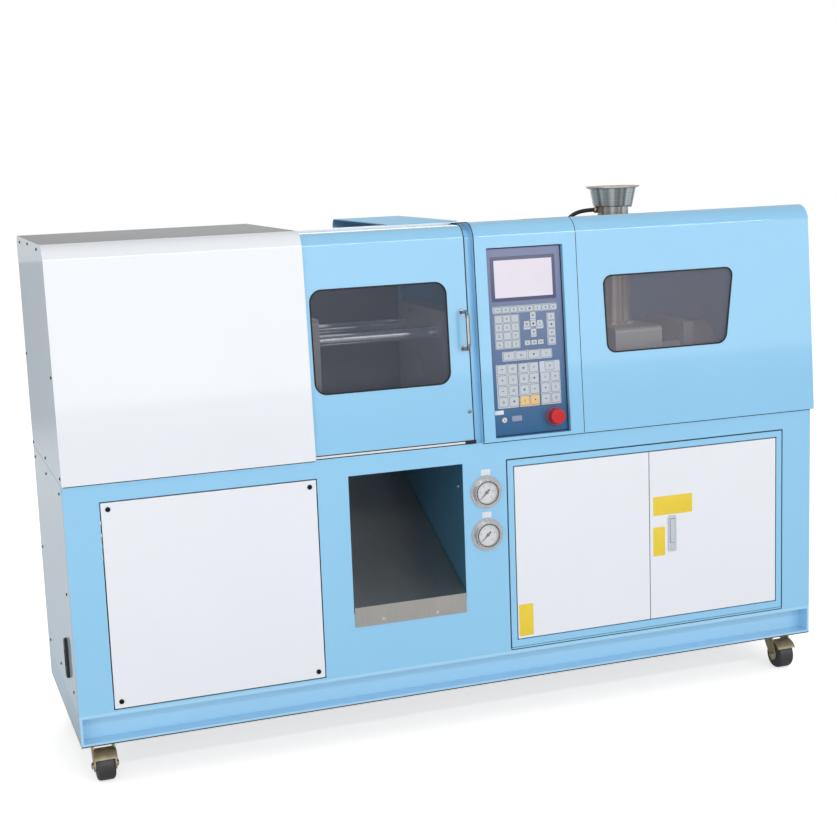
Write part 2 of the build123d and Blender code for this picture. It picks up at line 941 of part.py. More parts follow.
pin_length = cabinet_lip_sheet + door_gap + panel_sheet + hinge_pin_reach
with BuildPart() as cabinet_hinge_pins:
    for hinge_x in hinge_xs:
        pin_foot = opening_foot - cabinet_lip_sheet
        post(hinge_x, hinge_y, pin_foot, pin_foot + pin_length, hinge_pin_radius)
        pin_head = opening_top + cabinet_lip_sheet
        post(hinge_x, hinge_y, pin_head - pin_length, pin_head, hinge_pin_radius)
keep(cabinet_hinge_pins, "cabinet_hinge_pins")

door_foot = opening_foot + door_gap
door_head = opening_top - door_gap
door_split = (door_left_edge + door_right_edge) / 2
latch_mid_x = x_left + latch_x
latch_mid_z = z_rail + latch_z
door_spans = (
    ("left", door_left_edge, door_split - door_gap / 2, hinge_xs[0]),
    ("right", door_split + door_gap / 2, door_right_edge, hinge_xs[1]),
)
for side_name, edge_left, edge_right, hinge_x in door_spans:
    with BuildPart() as cabinet_door:
        block(edge_left, edge_right, y_front, y_front + door_return, door_foot, door_head)
        offset(
            amount=-panel_sheet, openings=cabinet_door.faces().sort_by(Axis.Y)[-1],
            kind=Kind.INTERSECTION,
        )
        post(
            hinge_x, hinge_y, door_foot - overrun, door_head + overrun,
            hinge_pin_radius + running_gap, mode=Mode.SUBTRACT,
        )
        if side_name == "right":
            block(
                latch_mid_x - latch_body_width / 2, latch_mid_x + latch_body_width / 2,
                y_front - overrun, y_front + panel_sheet,
                latch_mid_z - latch_body_height / 2, latch_mid_z + latch_body_height / 2,
                mode=Mode.SUBTRACT,
            )
    keep(cabinet_door, f"cabinet_door_{side_name}")

# Latch: a housing let into the right door, with a paddle on a cross pin
latch_front = y_front - latch_flange_sheet
pocket_top = latch_mid_z + latch_pocket_rise + latch_pocket_height / 2
pocket_foot = pocket_top - latch_pocket_height
paddle_pin_z = pocket_top - paddle_gap - paddle_pin_inset
paddle_back = latch_front - paddle_proud + paddle_sheet
paddle_pin_y = latch_front - paddle_proud + paddle_sheet / 2
with BuildPart() as latch_housing:
    with BuildSketch(Plane.XZ.offset(-y_front)):
        with Locations((latch_mid_x, latch_mid_z)):
            RectangleRounded(latch_width, latch_height, latch_corner)
    extrude(amount=latch_flange_sheet)
    block(
        latch_mid_x - latch_body_width / 2, latch_mid_x + latch_body_width / 2,
        y_front, y_front + latch_body_depth,
        latch_mid_z - latch_body_height / 2, latch_mid_z + latch_body_height / 2,
    )
    block(
        latch_mid_x - latch_pocket_width / 2, latch_mid_x + latch_pocket_width / 2,
        latch_front - overrun, latch_front + latch_pocket_depth, pocket_foot, pocket_top,
        mode=Mode.SUBTRACT,
    )
    rod(
        latch_mid_x - latch_pocket_width / 2, latch_mid_x + latch_pocket_width / 2,
        paddle_pin_y, paddle_pin_z, paddle_pin_radius,
    )
keep(latch_housing, "latch_housing")

with BuildPart() as latch_paddle:
    block(
        latch_mid_x - latch_pocket_width / 2 + paddle_gap,
        latch_mid_x + latch_pocket_width / 2 - paddle_gap,
        latch_front - paddle_proud, paddle_back,
        pocket_foot + paddle_gap, pocket_top - paddle_gap,
    )
    fillet(latch_paddle.edges().filter_by(Axis.X).group_by(Axis.Z)[-1], paddle_sheet * paddle_round_share)
    rod(
        latch_mid_x - latch_width, latch_mid_x + latch_width,
        paddle_pin_y, paddle_pin_z, paddle_pin_radius + running_gap, mode=Mode.SUBTRACT,
    )
keep(latch_paddle, "latch_paddle")

# Electrical mounting plate with its modules and wiring ducts
with BuildPart() as electrical_panel:
    plate_back = y_front + cabinet_depth - panel_sheet - mount_plate_stand
    plate_front = plate_back - mount_plate_sheet
    plate_left = cabinet_left + mount_plate_inset
    plate_right = cabinet_right - mount_plate_inset
    plate_low = cabinet_foot + mount_plate_inset
    plate_high = cabinet_top - mount_plate_inset
    plate_width = plate_right - plate_left
    plate_height = plate_high - plate_low
    block(plate_left, plate_right, plate_front, plate_back, plate_low, plate_high)
    for stand_x in (plate_left, plate_right - mount_plate_stand):
        for stand_z in (plate_low, plate_high - mount_plate_stand):
            block(
                stand_x, stand_x + mount_plate_stand, plate_back, plate_back + mount_plate_stand,
                stand_z, stand_z + mount_plate_stand,
            )
    for share_left, share_right, share_low, share_high in module_shares:
        block(
            plate_left + share_left * plate_width, plate_left + share_right * plate_width,
            plate_front - module_depth, plate_front,
            plate_low + share_low * plate_height, plate_low + share_high * plate_height,
        )
    for duct_share in duct_shares:
        duct_z = plate_low + duct_share * plate_height
        duct_left = plate_left + module_shares[1][0] * plate_width
        block(
            duct_left, plate_right, plate_front - duct_depth, plate_front,
            duct_z - duct_width / 2, min(duct_z + duct_width / 2, plate_high),
        )
keep(electrical_panel, "electrical_panel")

# White clamp cover and the end panel set into its left end
cover_left_end = x_left + clamp_cover_length
with BuildPart() as clamp_cover:
    cover_shell(x_left, cover_left_end, 0, cover_sheet)
keep(clamp_cover, "clamp_cover")

with BuildPart() as end_panel_upper:
    cover_wall(x_left, x_left + panel_sheet, cover_sheet)
keep(end_panel_upper, "end_panel_upper")

# Safety door: a bent sheet with a window, folded edges and a strip of roof
door_left = x_left + door_left_x
door_right = x_left + door_right_x
door_bottom = z_deck + door_lift
window_mid = (x_left + window_x + window_width / 2, z_rail + window_z + window_height / 2)
with BuildPart() as safety_door:
    cover_shell(door_left, door_right, door_inset, door_sheet)
    extrude(cover_band(door_right - door_sheet, door_inset, door_return_depth), amount=door_sheet)
    front_foot = front_at(door_bottom, door_inset)
    block(
        door_left, door_right, front_foot, front_foot + door_return_depth,
        door_bottom, door_bottom + door_sheet,
    )
    block(
        door_left - overrun, door_right + overrun, y_front + door_roof_y, y_back + overrun,
        z_deck - overrun, z_roof + overrun, mode=Mode.SUBTRACT,
    )
    block(
        door_left - overrun, door_right + overrun, y_front - base_depth, y_back + overrun,
        z_deck - overrun, door_bottom, mode=Mode.SUBTRACT,
    )
    with BuildSketch(front_plane(*window_mid, door_inset)):
        RectangleRounded(window_width, window_height / lean_cos, window_corner)
    extrude(amount=door_sheet + overrun, both=True, mode=Mode.SUBTRACT)
keep(safety_door, "safety_door")

with BuildPart() as door_window:
    with BuildSketch(front_plane(*window_mid, door_inset + door_sheet)):
        RectangleRounded(
            window_width + 2 * pane_lap, window_height / lean_cos + 2 * pane_lap,
            window_corner + pane_lap,
        )
    extrude(amount=-pane_sheet)
keep(door_window, "door_window")

# Bow handle of the door
handle_plane = front_plane(x_left + handle_x, z_rail + handle_z, door_inset)
with BuildPart() as door_handle:
    half_span = handle_span / 2
    side_plane = Plane(origin=handle_plane.origin, x_dir=handle_plane.y_dir, z_dir=handle_plane.x_dir)
    with BuildLine(side_plane) as bow:
        FilletPolyline(
            (-half_span, 0), (-half_span, handle_stand), (half_span, handle_stand), (half_span, 0),
            radius=handle_bend,
        )
    with BuildSketch(Plane(origin=bow.line @ 0, z_dir=bow.line % 0)):
        Circle(handle_radius)
    sweep(path=bow.line)
    with BuildSketch(handle_plane):
        with Locations((0, -half_span), (0, half_span)):
            Circle(handle_foot_radius)
    extrude(amount=handle_foot_height)
keep(door_handle, "door_handle")

# Door rails: one on the bed under the door, one below the roof
with BuildPart() as door_rails:
    block(
        x_left + panel_sheet, x_left + post_strip_x - seam_gap, y_front + bottom_rail_y,
        y_front + bottom_rail_y + bottom_rail_width, z_deck, door_bottom - rest_gap,
    )
    rail_top = z_roof - cover_sheet
    block(
        x_left + panel_sheet, x_left + post_strip_x - seam_gap, y_front + top_rail_y,
        y_front + top_rail_y + top_rail_width, rail_top - top_rail_height, rail_top,
    )
keep(door_rails, "door_rails")

# Rear guard: the back of the mould space, with a piece of roof at its right
with BuildPart() as rear_guard:
    cover_shell(cover_left_end, x_left + column_x, 0, cover_sheet)
    block(
        cover_left_end - overrun, x_left + column_x + overrun, y_front - base_depth,
        y_front + top_rail_y, z_deck - overrun, z_roof + overrun, mode=Mode.SUBTRACT,
    )
    block(
        cover_left_end - overrun, x_left + roof_piece_x, y_front - base_depth,
        y_back + overrun, z_roof - guard_drop, z_roof + overrun, mode=Mode.SUBTRACT,
    )
keep(rear_guard, "rear_guard")

# Control column, with the recessed door post and the pocket of the control panel
column_left = x_left + column_x
column_right = column_left + column_length
panel_mid = (x_left + panel_x, z_rail + panel_z)
panel_up = panel_height / lean_cos
with BuildPart() as control_column:
    cover_shell(column_left, column_right, 0, cover_sheet, fall_slope)
    step_depth = post_strip_inset + cover_sheet
    extrude(cover_band(column_left, 0, step_depth, fall_slope), amount=cover_sheet)
    strip_left = x_left + post_strip_x
    strip = cover_band(strip_left, post_strip_inset, cover_sheet, fall_slope)
    extrude(strip, amount=column_left - strip_left)
    block(
        strip_left - overrun, column_left, y_front + top_rail_y, y_back + overrun,
        z_deck - overrun, z_roof + overrun, mode=Mode.SUBTRACT,
    )
    with BuildSketch(front_plane(*panel_mid)):
        Rectangle(panel_width + 2 * cover_sheet, panel_up + 2 * cover_sheet)
    extrude(amount=-panel_recess)
    with BuildSketch(front_plane(*panel_mid)):
        Rectangle(panel_width, panel_up)
    extrude(amount=panel_recess + overrun, both=True, mode=Mode.SUBTRACT)
keep(control_column, "control_column")

# Control panel in its pocket: plate, screen, membrane keys and emergency stop
panel_face = front_plane(*panel_mid, panel_recess)
stop_place = (stop_shift, -stop_drop)
with BuildPart() as hmi_panel:
    with BuildSketch(panel_face):
        Rectangle(panel_width + 2 * cover_sheet, panel_up + 2 * cover_sheet)
    extrude(amount=-panel_plate)
    with BuildSketch(panel_face):
        with Locations(stop_place):
            Circle(stop_collar_radius)
    extrude(amount=stop_collar_height, taper=cover_lean)
    with BuildSketch(panel_face):
        with Locations(stop_place):
            Circle(stop_stem_radius + running_gap)
    extrude(amount=stop_collar_height + overrun, both=True, mode=Mode.SUBTRACT)
keep(hmi_panel, "hmi_panel")

with BuildPart() as hmi_screen:
    with BuildSketch(panel_face):
        with Locations((screen_shift, screen_rise)):
            Rectangle(screen_width, screen_height)
    extrude(amount=screen_sheet)
keep(hmi_screen, "hmi_screen")

with BuildPart() as hmi_keys:
    with BuildSketch(panel_face):
        for share_x, share_y, share_w, share_h, columns, rows in key_block_shares:
            pitch_x = share_w * panel_width / columns
            pitch_y = share_h * panel_up / rows
            with Locations((share_x * panel_width, share_y * panel_up)):
                with GridLocations(pitch_x, pitch_y, columns, rows):
                    Rectangle(pitch_x * key_margin_share, pitch_y * key_margin_share)
    extrude(amount=key_sheet)
keep(hmi_keys, "hmi_keys")

stop_axis = Axis(panel_face.origin, panel_face.z_dir)
with BuildPart() as estop_button:
    cap_foot = stop_collar_height + stop_travel + stop_spare
    with BuildSketch(panel_face.offset(cap_foot)):
        with Locations(stop_place):
            Circle(stop_radius)
    extrude(amount=stop_cap_height)
    fillet(estop_button.edges().filter_by(GeomType.CIRCLE).sort_by(stop_axis)[-1], stop_crown)
    with BuildSketch(panel_face):
        with Locations(stop_place):
            Circle(stop_stem_radius)
    extrude(amount=cap_foot)
keep(estop_button, "estop_button")

# Injection cover: closed at its right end, with a window and a slot for the hopper
injection_left = column_right + cover_gap
injection_right = x_right + cover_overhang
injection_mid = (x_left + injection_window_x, z_rail + injection_window_z)


def injection_opening(plane, lap=0):
    """The window's outline, whose right side slants inwards at its foot."""
    half_height = injection_window_height / lean_cos / 2
    top_left, top_right = [share * injection_window_width for share in injection_window_top_shares]
    low_left, low_right = [share * injection_window_width for share in injection_window_bottom_shares]
    with BuildSketch(plane) as opening:
        with BuildLine():
            Polyline(
                (top_left, half_height),
                (top_right, half_height),
                (low_right, -half_height),
                (low_left, -half_height),
                close=True,
            )
        make_face()
        if lap:
            offset(amount=lap, kind=Kind.INTERSECTION)
        fillet(opening.vertices(), injection_window_corner + lap)
    return opening.sketch


with BuildPart() as injection_cover:
    cover_shell(injection_left, injection_right, 0, cover_sheet, fall_slope)
    cover_wall(injection_right - cover_sheet, injection_right, 0, fall_slope)
    extrude(
        injection_opening(front_plane(*injection_mid)),
        amount=cover_sheet + overrun, both=True, mode=Mode.SUBTRACT,
    )
    slot_mid = x_left + hopper_slot_x + hopper_slot_length / 2
    with BuildSketch(Plane.XY.offset(z_axis)):
        with Locations((slot_mid, y_axis)):
            SlotOverall(hopper_slot_length, hopper_slot_width)
    extrude(amount=cover_height, mode=Mode.SUBTRACT)
keep(injection_cover, "injection_cover")

with BuildPart() as injection_window:
    extrude(
        injection_opening(front_plane(*injection_mid, cover_sheet), pane_lap), amount=-pane_sheet,
    )
keep(injection_window, "injection_window")

# Clamp unit: rear platen with its cylinder, tie bars, fixed and moving platens
tie_places = [
    (y_axis + side_y * tie_spacing_y / 2, z_axis + side_z * tie_spacing_z / 2)
    for side_y in (-1, 1)
    for side_z in (-1, 1)
]
rear_left = x_left + rear_platen_x
rear_right = rear_left + rear_platen_length
moving_left = x_left + moving_platen_x
moving_right = moving_left + platen_length
fixed_left = x_left + fixed_platen_x
fixed_right = fixed_left + platen_length


def platen(x0, x1, foot):
    """A platen block with rounded upper corners and four tie bar holes."""
    with BuildSketch(Plane.YZ.offset(x0)) as face:
        with Locations((y_axis, (foot + z_deck + platen_height) / 2)):
            Rectangle(platen_width, z_deck + platen_height - foot)
        fillet(face.vertices().group_by(Axis.Y)[-1], platen_rounding)
        with Locations(*tie_places):
            Circle(tie_radius + running_gap, mode=Mode.SUBTRACT)
    extrude(face.sketch, amount=x1 - x0)


def mould_bolts(x, depth):
    """Blind holes that a mould half is bolted to."""
    with BuildSketch(Plane.YZ.offset(x)) as holes:
        with Locations((y_axis, z_axis)):
            with GridLocations(mould_bolt_spacing_y, mould_bolt_spacing_z, 2, 2):
                Circle(mould_bolt_radius)
    extrude(holes.sketch, amount=depth, mode=Mode.SUBTRACT)


with BuildPart() as rear_platen:
    platen(rear_left, rear_right, z_deck)
    cylinder_end = rear_right + cylinder_length
    rod(rear_right, cylinder_end, y_axis, z_axis, cylinder_radius)
    rod(
        rear_right + cylinder_end_wall, cylinder_end - cylinder_end_wall,
        y_axis, z_axis, cylinder_bore_radius, mode=Mode.SUBTRACT,
    )
    rod(
        cylinder_end - cylinder_end_wall, cylinder_end, y_axis, z_axis,
        ram_radius + running_gap, mode=Mode.SUBTRACT,
    )
keep(rear_platen, "rear_platen")

with BuildPart() as fixed_platen:
    platen(fixed_left, fixed_right, z_deck)
    rod(fixed_left, fixed_right, y_axis, z_axis, nozzle_hole_radius, mode=Mode.SUBTRACT)
    rod(
        fixed_left, fixed_left + locating_depth, y_axis, z_axis, locating_radius,
        mode=Mode.SUBTRACT,
    )
    mould_bolts(fixed_left, mould_bolt_depth)
keep(fixed_platen, "fixed_platen")

ejector_places = [
    (y_axis - ejector_rod_spacing / 2, z_axis),
    (y_axis + ejector_rod_spacing / 2, z_axis),
]
with BuildPart() as moving_platen:
    platen(moving_left, moving_right, z_deck + platen_lift)
    mould_bolts(moving_right, -mould_bolt_depth)
    for rod_y, rod_z in ejector_places:
        rod(
            moving_left, moving_right, rod_y, rod_z, ejector_rod_radius + running_gap,
            mode=Mode.SUBTRACT,
        )
keep(moving_platen, "moving_platen")

with BuildPart() as tie_bars:
    for tie_y, tie_z in tie_places:
        rod(rear_left - tie_end, fixed_right + tie_end, tie_y, tie_z, tie_radius)
        for nut_x in (rear_left - tie_nut_length, fixed_right):
            with BuildSketch(Plane.YZ.offset(nut_x)):
                with Locations((tie_y, tie_z)):
                    RegularPolygon(tie_nut_radius, 6)
            extrude(amount=tie_nut_length)
keep(tie_bars, "tie_bars")

with BuildPart() as clamp_ram:
    piston_left = rear_right + cylinder_end_wall + piston_start
    piston_right = piston_left + piston_length
    rod(piston_left, piston_right, y_axis, z_axis, cylinder_bore_radius - running_gap)
    rod(piston_right, moving_left, y_axis, z_axis, ram_radius)
keep(clamp_ram, "clamp_ram")

with BuildPart() as ejector_bar:
    bar_left = x_left + ejector_bar_x
    with BuildSketch(Plane.YZ.offset(bar_left)):
        with Locations((y_axis, z_axis)):
            RectangleRounded(ejector_bar_width, ejector_bar_height, platen_rounding)
            Circle(ram_radius + seam_gap, mode=Mode.SUBTRACT)
    extrude(amount=ejector_bar_length)
    for rod_y, rod_z in ejector_places:
        rod(
            bar_left + ejector_bar_length, moving_right - ejector_rod_back,
            rod_y, rod_z, ejector_rod_radius,
        )
keep(ejector_bar, "ejector_bar")

# Injection unit: guides, feed block, barrel with nozzle and bands, screw and its drive
guide_ys = (y_axis - guide_spacing / 2, y_axis + guide_spacing / 2)
z_guide = z_rail + guide_z
guide_end = x_left + guide_end_x
with BuildPart() as carriage_guides:
    for guide_y in guide_ys:
        rod(fixed_right, guide_end, guide_y, z_guide, guide_radius)
    block(
        guide_end, guide_end + guide_support_length,
        y_axis - guide_support_width / 2, y_axis + guide_support_width / 2,
        z_deck, z_guide + guide_support_top,
    )
keep(carriage_guides, "carriage_guides")

feed_left = x_left + feed_x
feed_right = feed_left + feed_length
feed_foot = z_rail + feed_foot_z
feed_top = feed_foot + feed_height
rod_ys = (y_axis - rod_spacing / 2, y_axis + rod_spacing / 2)
hopper_mid = x_left + hopper_x
hose_foot = z_rail + hose_foot_z
with BuildPart() as feed_block:
    block(
        feed_left, feed_right, y_axis - feed_width / 2, y_axis + feed_width / 2, feed_foot, feed_top,
    )
    fillet(feed_block.edges().filter_by(Axis.X).group_by(Axis.Z)[-1], platen_rounding)
    for guide_y in guide_ys:
        rod(
            feed_left, feed_right, guide_y, z_guide, guide_radius + running_gap,
            mode=Mode.SUBTRACT,
        )
    rod(feed_left, feed_right, y_axis, z_axis, barrel_radius + running_gap, mode=Mode.SUBTRACT)
    for rod_y in rod_ys:
        rod(
            feed_right - rod_engagement - rod_spare, feed_right, rod_y, z_axis,
            rod_radius + running_gap, mode=Mode.SUBTRACT,
        )
    post(hopper_mid, y_axis, z_axis, feed_top, throat_radius, mode=Mode.SUBTRACT)
    rod(feed_left - fitting_length, feed_left, y_axis, hose_foot, fitting_radius)
keep(feed_block, "feed_block")

axis_plane = Plane(origin=(0, y_axis, z_axis), x_dir=(1, 0, 0), z_dir=(0, -1, 0))
barrel_axis = Axis((0, y_axis, z_axis), (1, 0, 0))
barrel_left = x_left + barrel_x
nozzle_tip = x_left + nozzle_tip_x
with BuildPart() as barrel:
    with BuildSketch(axis_plane):
        with BuildLine():
            Polyline(
                (nozzle_tip, 0),
                (nozzle_tip, nozzle_tip_radius),
                (nozzle_tip + nozzle_cone, nozzle_radius),
                (barrel_left, nozzle_radius),
                (barrel_left, barrel_radius),
                (feed_right, barrel_radius),
                (feed_right, 0),
                close=True,
            )
        make_face()
    revolve(axis=barrel_axis)
    rod(barrel_left, feed_right, y_axis, z_axis, screw_radius, mode=Mode.SUBTRACT)
    rod(nozzle_tip, barrel_left, y_axis, z_axis, nozzle_tip_radius / 2, mode=Mode.SUBTRACT)
    post(hopper_mid, y_axis, z_axis, feed_top, throat_radius, mode=Mode.SUBTRACT)
keep(barrel, "barrel")

with BuildPart() as heater_bands:
    for band in range(band_count):
        band_left = x_left + band_x + band * band_pitch
        with BuildSketch(Plane.YZ.offset(band_left)):
            with Locations((y_axis, z_axis)):
                Circle(band_radius)
                Circle(barrel_radius, mode=Mode.SUBTRACT)
        extrude(amount=band_length)
keep(heater_bands, "heater_bands")

plate_left_x = x_left + injection_plate_x
plate_right_x = plate_left_x + injection_plate_length
with BuildPart() as screw:
    screw_start = barrel_left + screw_tip_gap
    with BuildSketch(axis_plane):
        with BuildLine():
            Polyline(
                (screw_start, 0),
                (screw_start + screw_tip_length, screw_radius - running_gap),
                (plate_right_x - rest_gap, screw_radius - running_gap),
                (plate_right_x - rest_gap, 0),
                close=True,
            )
        make_face()
    revolve(axis=barrel_axis)
keep(screw, "screw")

with BuildPart() as injection_drive:
    with BuildSketch(Plane.YZ.offset(plate_left_x)):
        with Locations((y_axis, z_axis)):
            RectangleRounded(injection_plate_width, injection_plate_height, platen_rounding)
            Circle(screw_radius, mode=Mode.SUBTRACT)
    extrude(amount=injection_plate_length)
    rod(plate_right_x, plate_right_x + screw_motor_length, y_axis, z_axis, screw_motor_radius)
    motor_rim = injection_drive.edges().filter_by(GeomType.CIRCLE).sort_by(Axis.X)[-1]
    fillet(motor_rim, screw_motor_rounding)
    for rod_y in rod_ys:
        rod(feed_right - rod_engagement, plate_left_x, rod_y, z_axis, rod_radius)
keep(injection_drive, "injection_drive")

# Hopper: a tube with a foot flange and an inner cone, and a spun bowl seated on its top
neck_z = z_rail + hopper_neck_z
rim_z = z_rail + hopper_rim_z
tube_top = neck_z - hopper_rim_roll
fitting_z = neck_z - fitting_drop
hopper_plane = Plane(origin=(hopper_mid, y_axis, 0), x_dir=(1, 0, 0), z_dir=(0, -1, 0))
hopper_axis = Axis((hopper_mid, y_axis, 0), (0, 0, 1))
hose_exit = hopper_mid - hopper_tube_radius - fitting_length
with BuildPart() as hopper_tube:
    with BuildSketch(hopper_plane):
        with BuildLine():
            Polyline(
                (throat_radius, feed_top),
                (hopper_flange_radius, feed_top),
                (hopper_flange_radius, feed_top + hopper_flange_sheet),
                (hopper_tube_radius, feed_top + hopper_flange_sheet),
                (hopper_tube_radius, tube_top),
                (hopper_tube_radius - hopper_wall, tube_top),
                (hopper_tube_radius - hopper_wall, feed_top + hopper_cone_height),
                close=True,
            )
        make_face()
    revolve(axis=hopper_axis)
    rod(
        hose_exit, hopper_mid - hopper_tube_radius + hopper_wall / 2,
        y_axis, fitting_z, fitting_radius,
    )
keep(hopper_tube, "hopper_tube")

with BuildPart() as hopper:
    with BuildSketch(hopper_plane):
        with BuildLine():
            Polyline(
                (hopper_tube_radius - hopper_wall, tube_top),
                (hopper_tube_radius, tube_top),
                (hopper_neck_radius, neck_z),
                (hopper_mouth_radius, rim_z - 2 * hopper_rim_roll),
                (hopper_rim_radius, rim_z - hopper_rim_roll),
                (hopper_rim_radius, rim_z),
                (hopper_mouth_radius - hopper_wall, rim_z - hopper_rim_roll),
                (hopper_neck_radius - hopper_wall, neck_z + hopper_wall),
                close=True,
            )
        make_face()
    revolve(axis=hopper_axis)
keep(hopper, "hopper")

# Hose from the hopper's fitting down to the feed block
hose_points = [Vector(hose_exit + run, y_axis, fitting_z + rise) for run, rise in hose_route]
hose_radii = []
for before, corner_point, after in zip(hose_points, hose_points[1:], hose_points[2:]):
    turn = (corner_point - before).get_angle(after - corner_point)
    shorter = min((corner_point - before).length, (after - corner_point).length)
    hose_radii.append(hose_bend_share * shorter / math.tan(math.radians(turn) / 2))
print("hose bend radii", [round(radius) for radius in hose_radii])
with BuildPart() as hopper_hose:
    with BuildLine() as hose_line:
        FilletPolyline(*hose_points, radius=hose_radii)
    hose_path = hose_line.wire()
    with BuildSketch(Plane(origin=hose_path @ 0, z_dir=hose_path % 0)):
        Circle(hose_radius)
    sweep(path=hose_path)
hose_volume = math.pi * hose_radius**2 * hose_path.length
print("hose length", round(hose_path.length, 1))
print("hose volume share", round(hopper_hose.part.volume / hose_volume, 4))
keep(hopper_hose, "hopper_hose")
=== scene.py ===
# %% [markdown]
# # A micro injection moulding machine
# The machine is a sheet-metal cabinet on four castors: a clamp unit under a white cover on the
# left, a sliding safety door over the mould, a control column, and the injection unit under a blue
# cover with its hopper on top. The construction is already there at its true size. This lesson
# loads it as a fixed frame, gives every surface its finish, and adds the small pieces that a maker
# fits last.

# %% Load the machine
import math

import bpy
from mathutils import Matrix, Vector


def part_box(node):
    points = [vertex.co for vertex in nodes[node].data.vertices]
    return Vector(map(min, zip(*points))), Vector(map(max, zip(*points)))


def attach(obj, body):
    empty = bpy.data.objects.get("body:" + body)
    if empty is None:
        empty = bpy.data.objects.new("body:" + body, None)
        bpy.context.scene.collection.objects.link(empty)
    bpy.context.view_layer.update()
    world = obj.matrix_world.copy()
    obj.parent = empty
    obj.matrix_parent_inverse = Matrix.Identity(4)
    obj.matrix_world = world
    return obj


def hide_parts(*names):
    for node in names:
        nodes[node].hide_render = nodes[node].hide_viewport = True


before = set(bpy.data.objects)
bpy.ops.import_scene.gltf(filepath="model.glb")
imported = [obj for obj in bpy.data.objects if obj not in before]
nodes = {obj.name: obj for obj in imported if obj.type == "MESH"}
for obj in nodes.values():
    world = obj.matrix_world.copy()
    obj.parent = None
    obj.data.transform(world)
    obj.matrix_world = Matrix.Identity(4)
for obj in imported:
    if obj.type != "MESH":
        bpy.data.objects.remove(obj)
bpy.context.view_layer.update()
MM = 0.001


def centre_of(node):
    """The centre of a node's box."""
    low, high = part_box(node)
    return (low + high) / 2


# %% [markdown]
# ## The camera
# The photograph was taken by hand from the left, a little above the machine, and the horizon leans
# by two degrees. A camera can be aimed with a constraint, but three plain turns say more: a turn
# about the upright, a tilt from looking straight down, and a roll about the line of sight.

# %% Camera
LENS_MM = 66.64
CAMERA_PLACE = (-1.3803, -3.8367, 1.4730)
CAMERA_TURN = -19.452
CAMERA_TILT = 80.082
CAMERA_ROLL = -2.131


def turned(degrees, axis):
    return Matrix.Rotation(math.radians(degrees), 4, axis)


aim = turned(CAMERA_TURN, "Z") @ turned(CAMERA_TILT, "X") @ turned(CAMERA_ROLL, "Z")
bpy.ops.object.camera_add(location=CAMERA_PLACE, rotation=aim.to_euler())
camera = bpy.context.object
camera.data.lens = LENS_MM
bpy.context.scene.camera = camera
print("camera", LENS_MM, "mm lens at", CAMERA_PLACE)

# %% [markdown]
# ## Shader maths as Python
# A node tree is easier to read as arithmetic. The small class below wraps one socket, so that `1 -
# mask` or `0.3 + 0.1 * grain` adds the Math nodes by itself. Every other node comes from one
# method, which takes the node's type, its settings and what goes into its sockets.

# %% Sockets that do arithmetic
class Value:
    """One output socket of a finish; sums and products on it add Math nodes."""

    def __init__(self, finish, socket):
        self.finish = finish
        self.socket = socket

    def math(self, operation, first, second):
        return self.finish.node("Math", {"operation": operation}, {0: first, 1: second})

    def __add__(self, other):
        return self.math("ADD", self, other)

    def __sub__(self, other):
        return self.math("SUBTRACT", self, other)

    def __rsub__(self, other):
        return self.math("SUBTRACT", other, self)

    def __mul__(self, other):
        return self.math("MULTIPLY", self, other)

    def __gt__(self, other):
        return self.math("GREATER_THAN", self, other)

    def __lt__(self, other):
        return self.math("LESS_THAN", self, other)

    __radd__ = __add__
    __rmul__ = __mul__


# %% One finish, one node tree
class Finish:
    """A material whose nodes are added by name, with the surface's own coordinates ready."""

    def __init__(self, name, tree=None):
        self.material = None
        if tree is None:
            self.material = bpy.data.materials.new(name)
            self.material.use_nodes = True
            tree = self.material.node_tree
        self.tree = tree

    def node(self, kind, settings=None, sockets=None, out=0):
        made = self.tree.nodes.new("ShaderNode" + kind)
        for setting, value in (settings or {}).items():
            setattr(made, setting, value)
        for socket, value in (sockets or {}).items():
            self.feed(made.inputs[socket], value)
        return Value(self, made.outputs[out])

    def feed(self, socket, value):
        if isinstance(value, Value):
            self.tree.links.new(value.socket, socket)
        else:
            socket.default_value = value

    def place(self, stretch=(1, 1, 1)):
        spot = self.node("TexCoord", out="Object")
        return self.node("Mapping", {}, {"Vector": spot, "Scale": stretch})

    def axes(self):
        split = self.node("SeparateXYZ", {}, {0: self.node("TexCoord", out="Object")})
        outputs = split.socket.node.outputs
        return [Value(self, outputs[axis]) for axis in ("X", "Y", "Z")]

    def noise(self, scale, detail=2.0, stretch=(1, 1, 1)):
        sockets = {"Vector": self.place(stretch), "Scale": scale, "Detail": detail}
        return self.node("TexNoise", {}, sockets)

    def mix(self, mask, first, second):
        return self.node("Mix", {"data_type": "RGBA"}, {0: mask, 6: first, 7: second}, out=2)

    def bump(self, height, depth, strength):
        sockets = {"Height": height, "Distance": depth, "Strength": strength}
        return self.node("Bump", {}, sockets)

    def shade(self, sockets):
        shader = self.tree.nodes["Principled BSDF"]
        for socket, value in sockets.items():
            self.feed(shader.inputs[socket], value)
        return self.material


def tint(red, green, blue, share=1.0):
    """A colour as it is seen, each channel up to 255, as the light that a shader counts in."""
    seen = [channel / 255 for channel in (red, green, blue)]
    light = [c / 12.92 if c <= 0.04045 else ((c + 0.055) / 1.055) ** 2.4 for c in seen]
    return (*[share * c for c in light], 1.0)


print("finishes can now be written as sums")

# %% [markdown]
# ## Light and floor
# A studio shot of a machine on white uses one large soft light near the camera and white all
# round. The world is plain white where the camera sees it, and dimmer in mirrors and as a lamp, so
# that the lamps and not the backdrop set the level. The floor glows a little for the camera alone:
# open floor comes out white, and the shadow under the machine stays.

# %% World
AMBIENT = 0.52
MIRROR_SHARE = 0.38
world = bpy.data.worlds.new("white_room")
world.use_nodes = True
bpy.context.scene.world = world
room = Finish("white_room", world.node_tree)


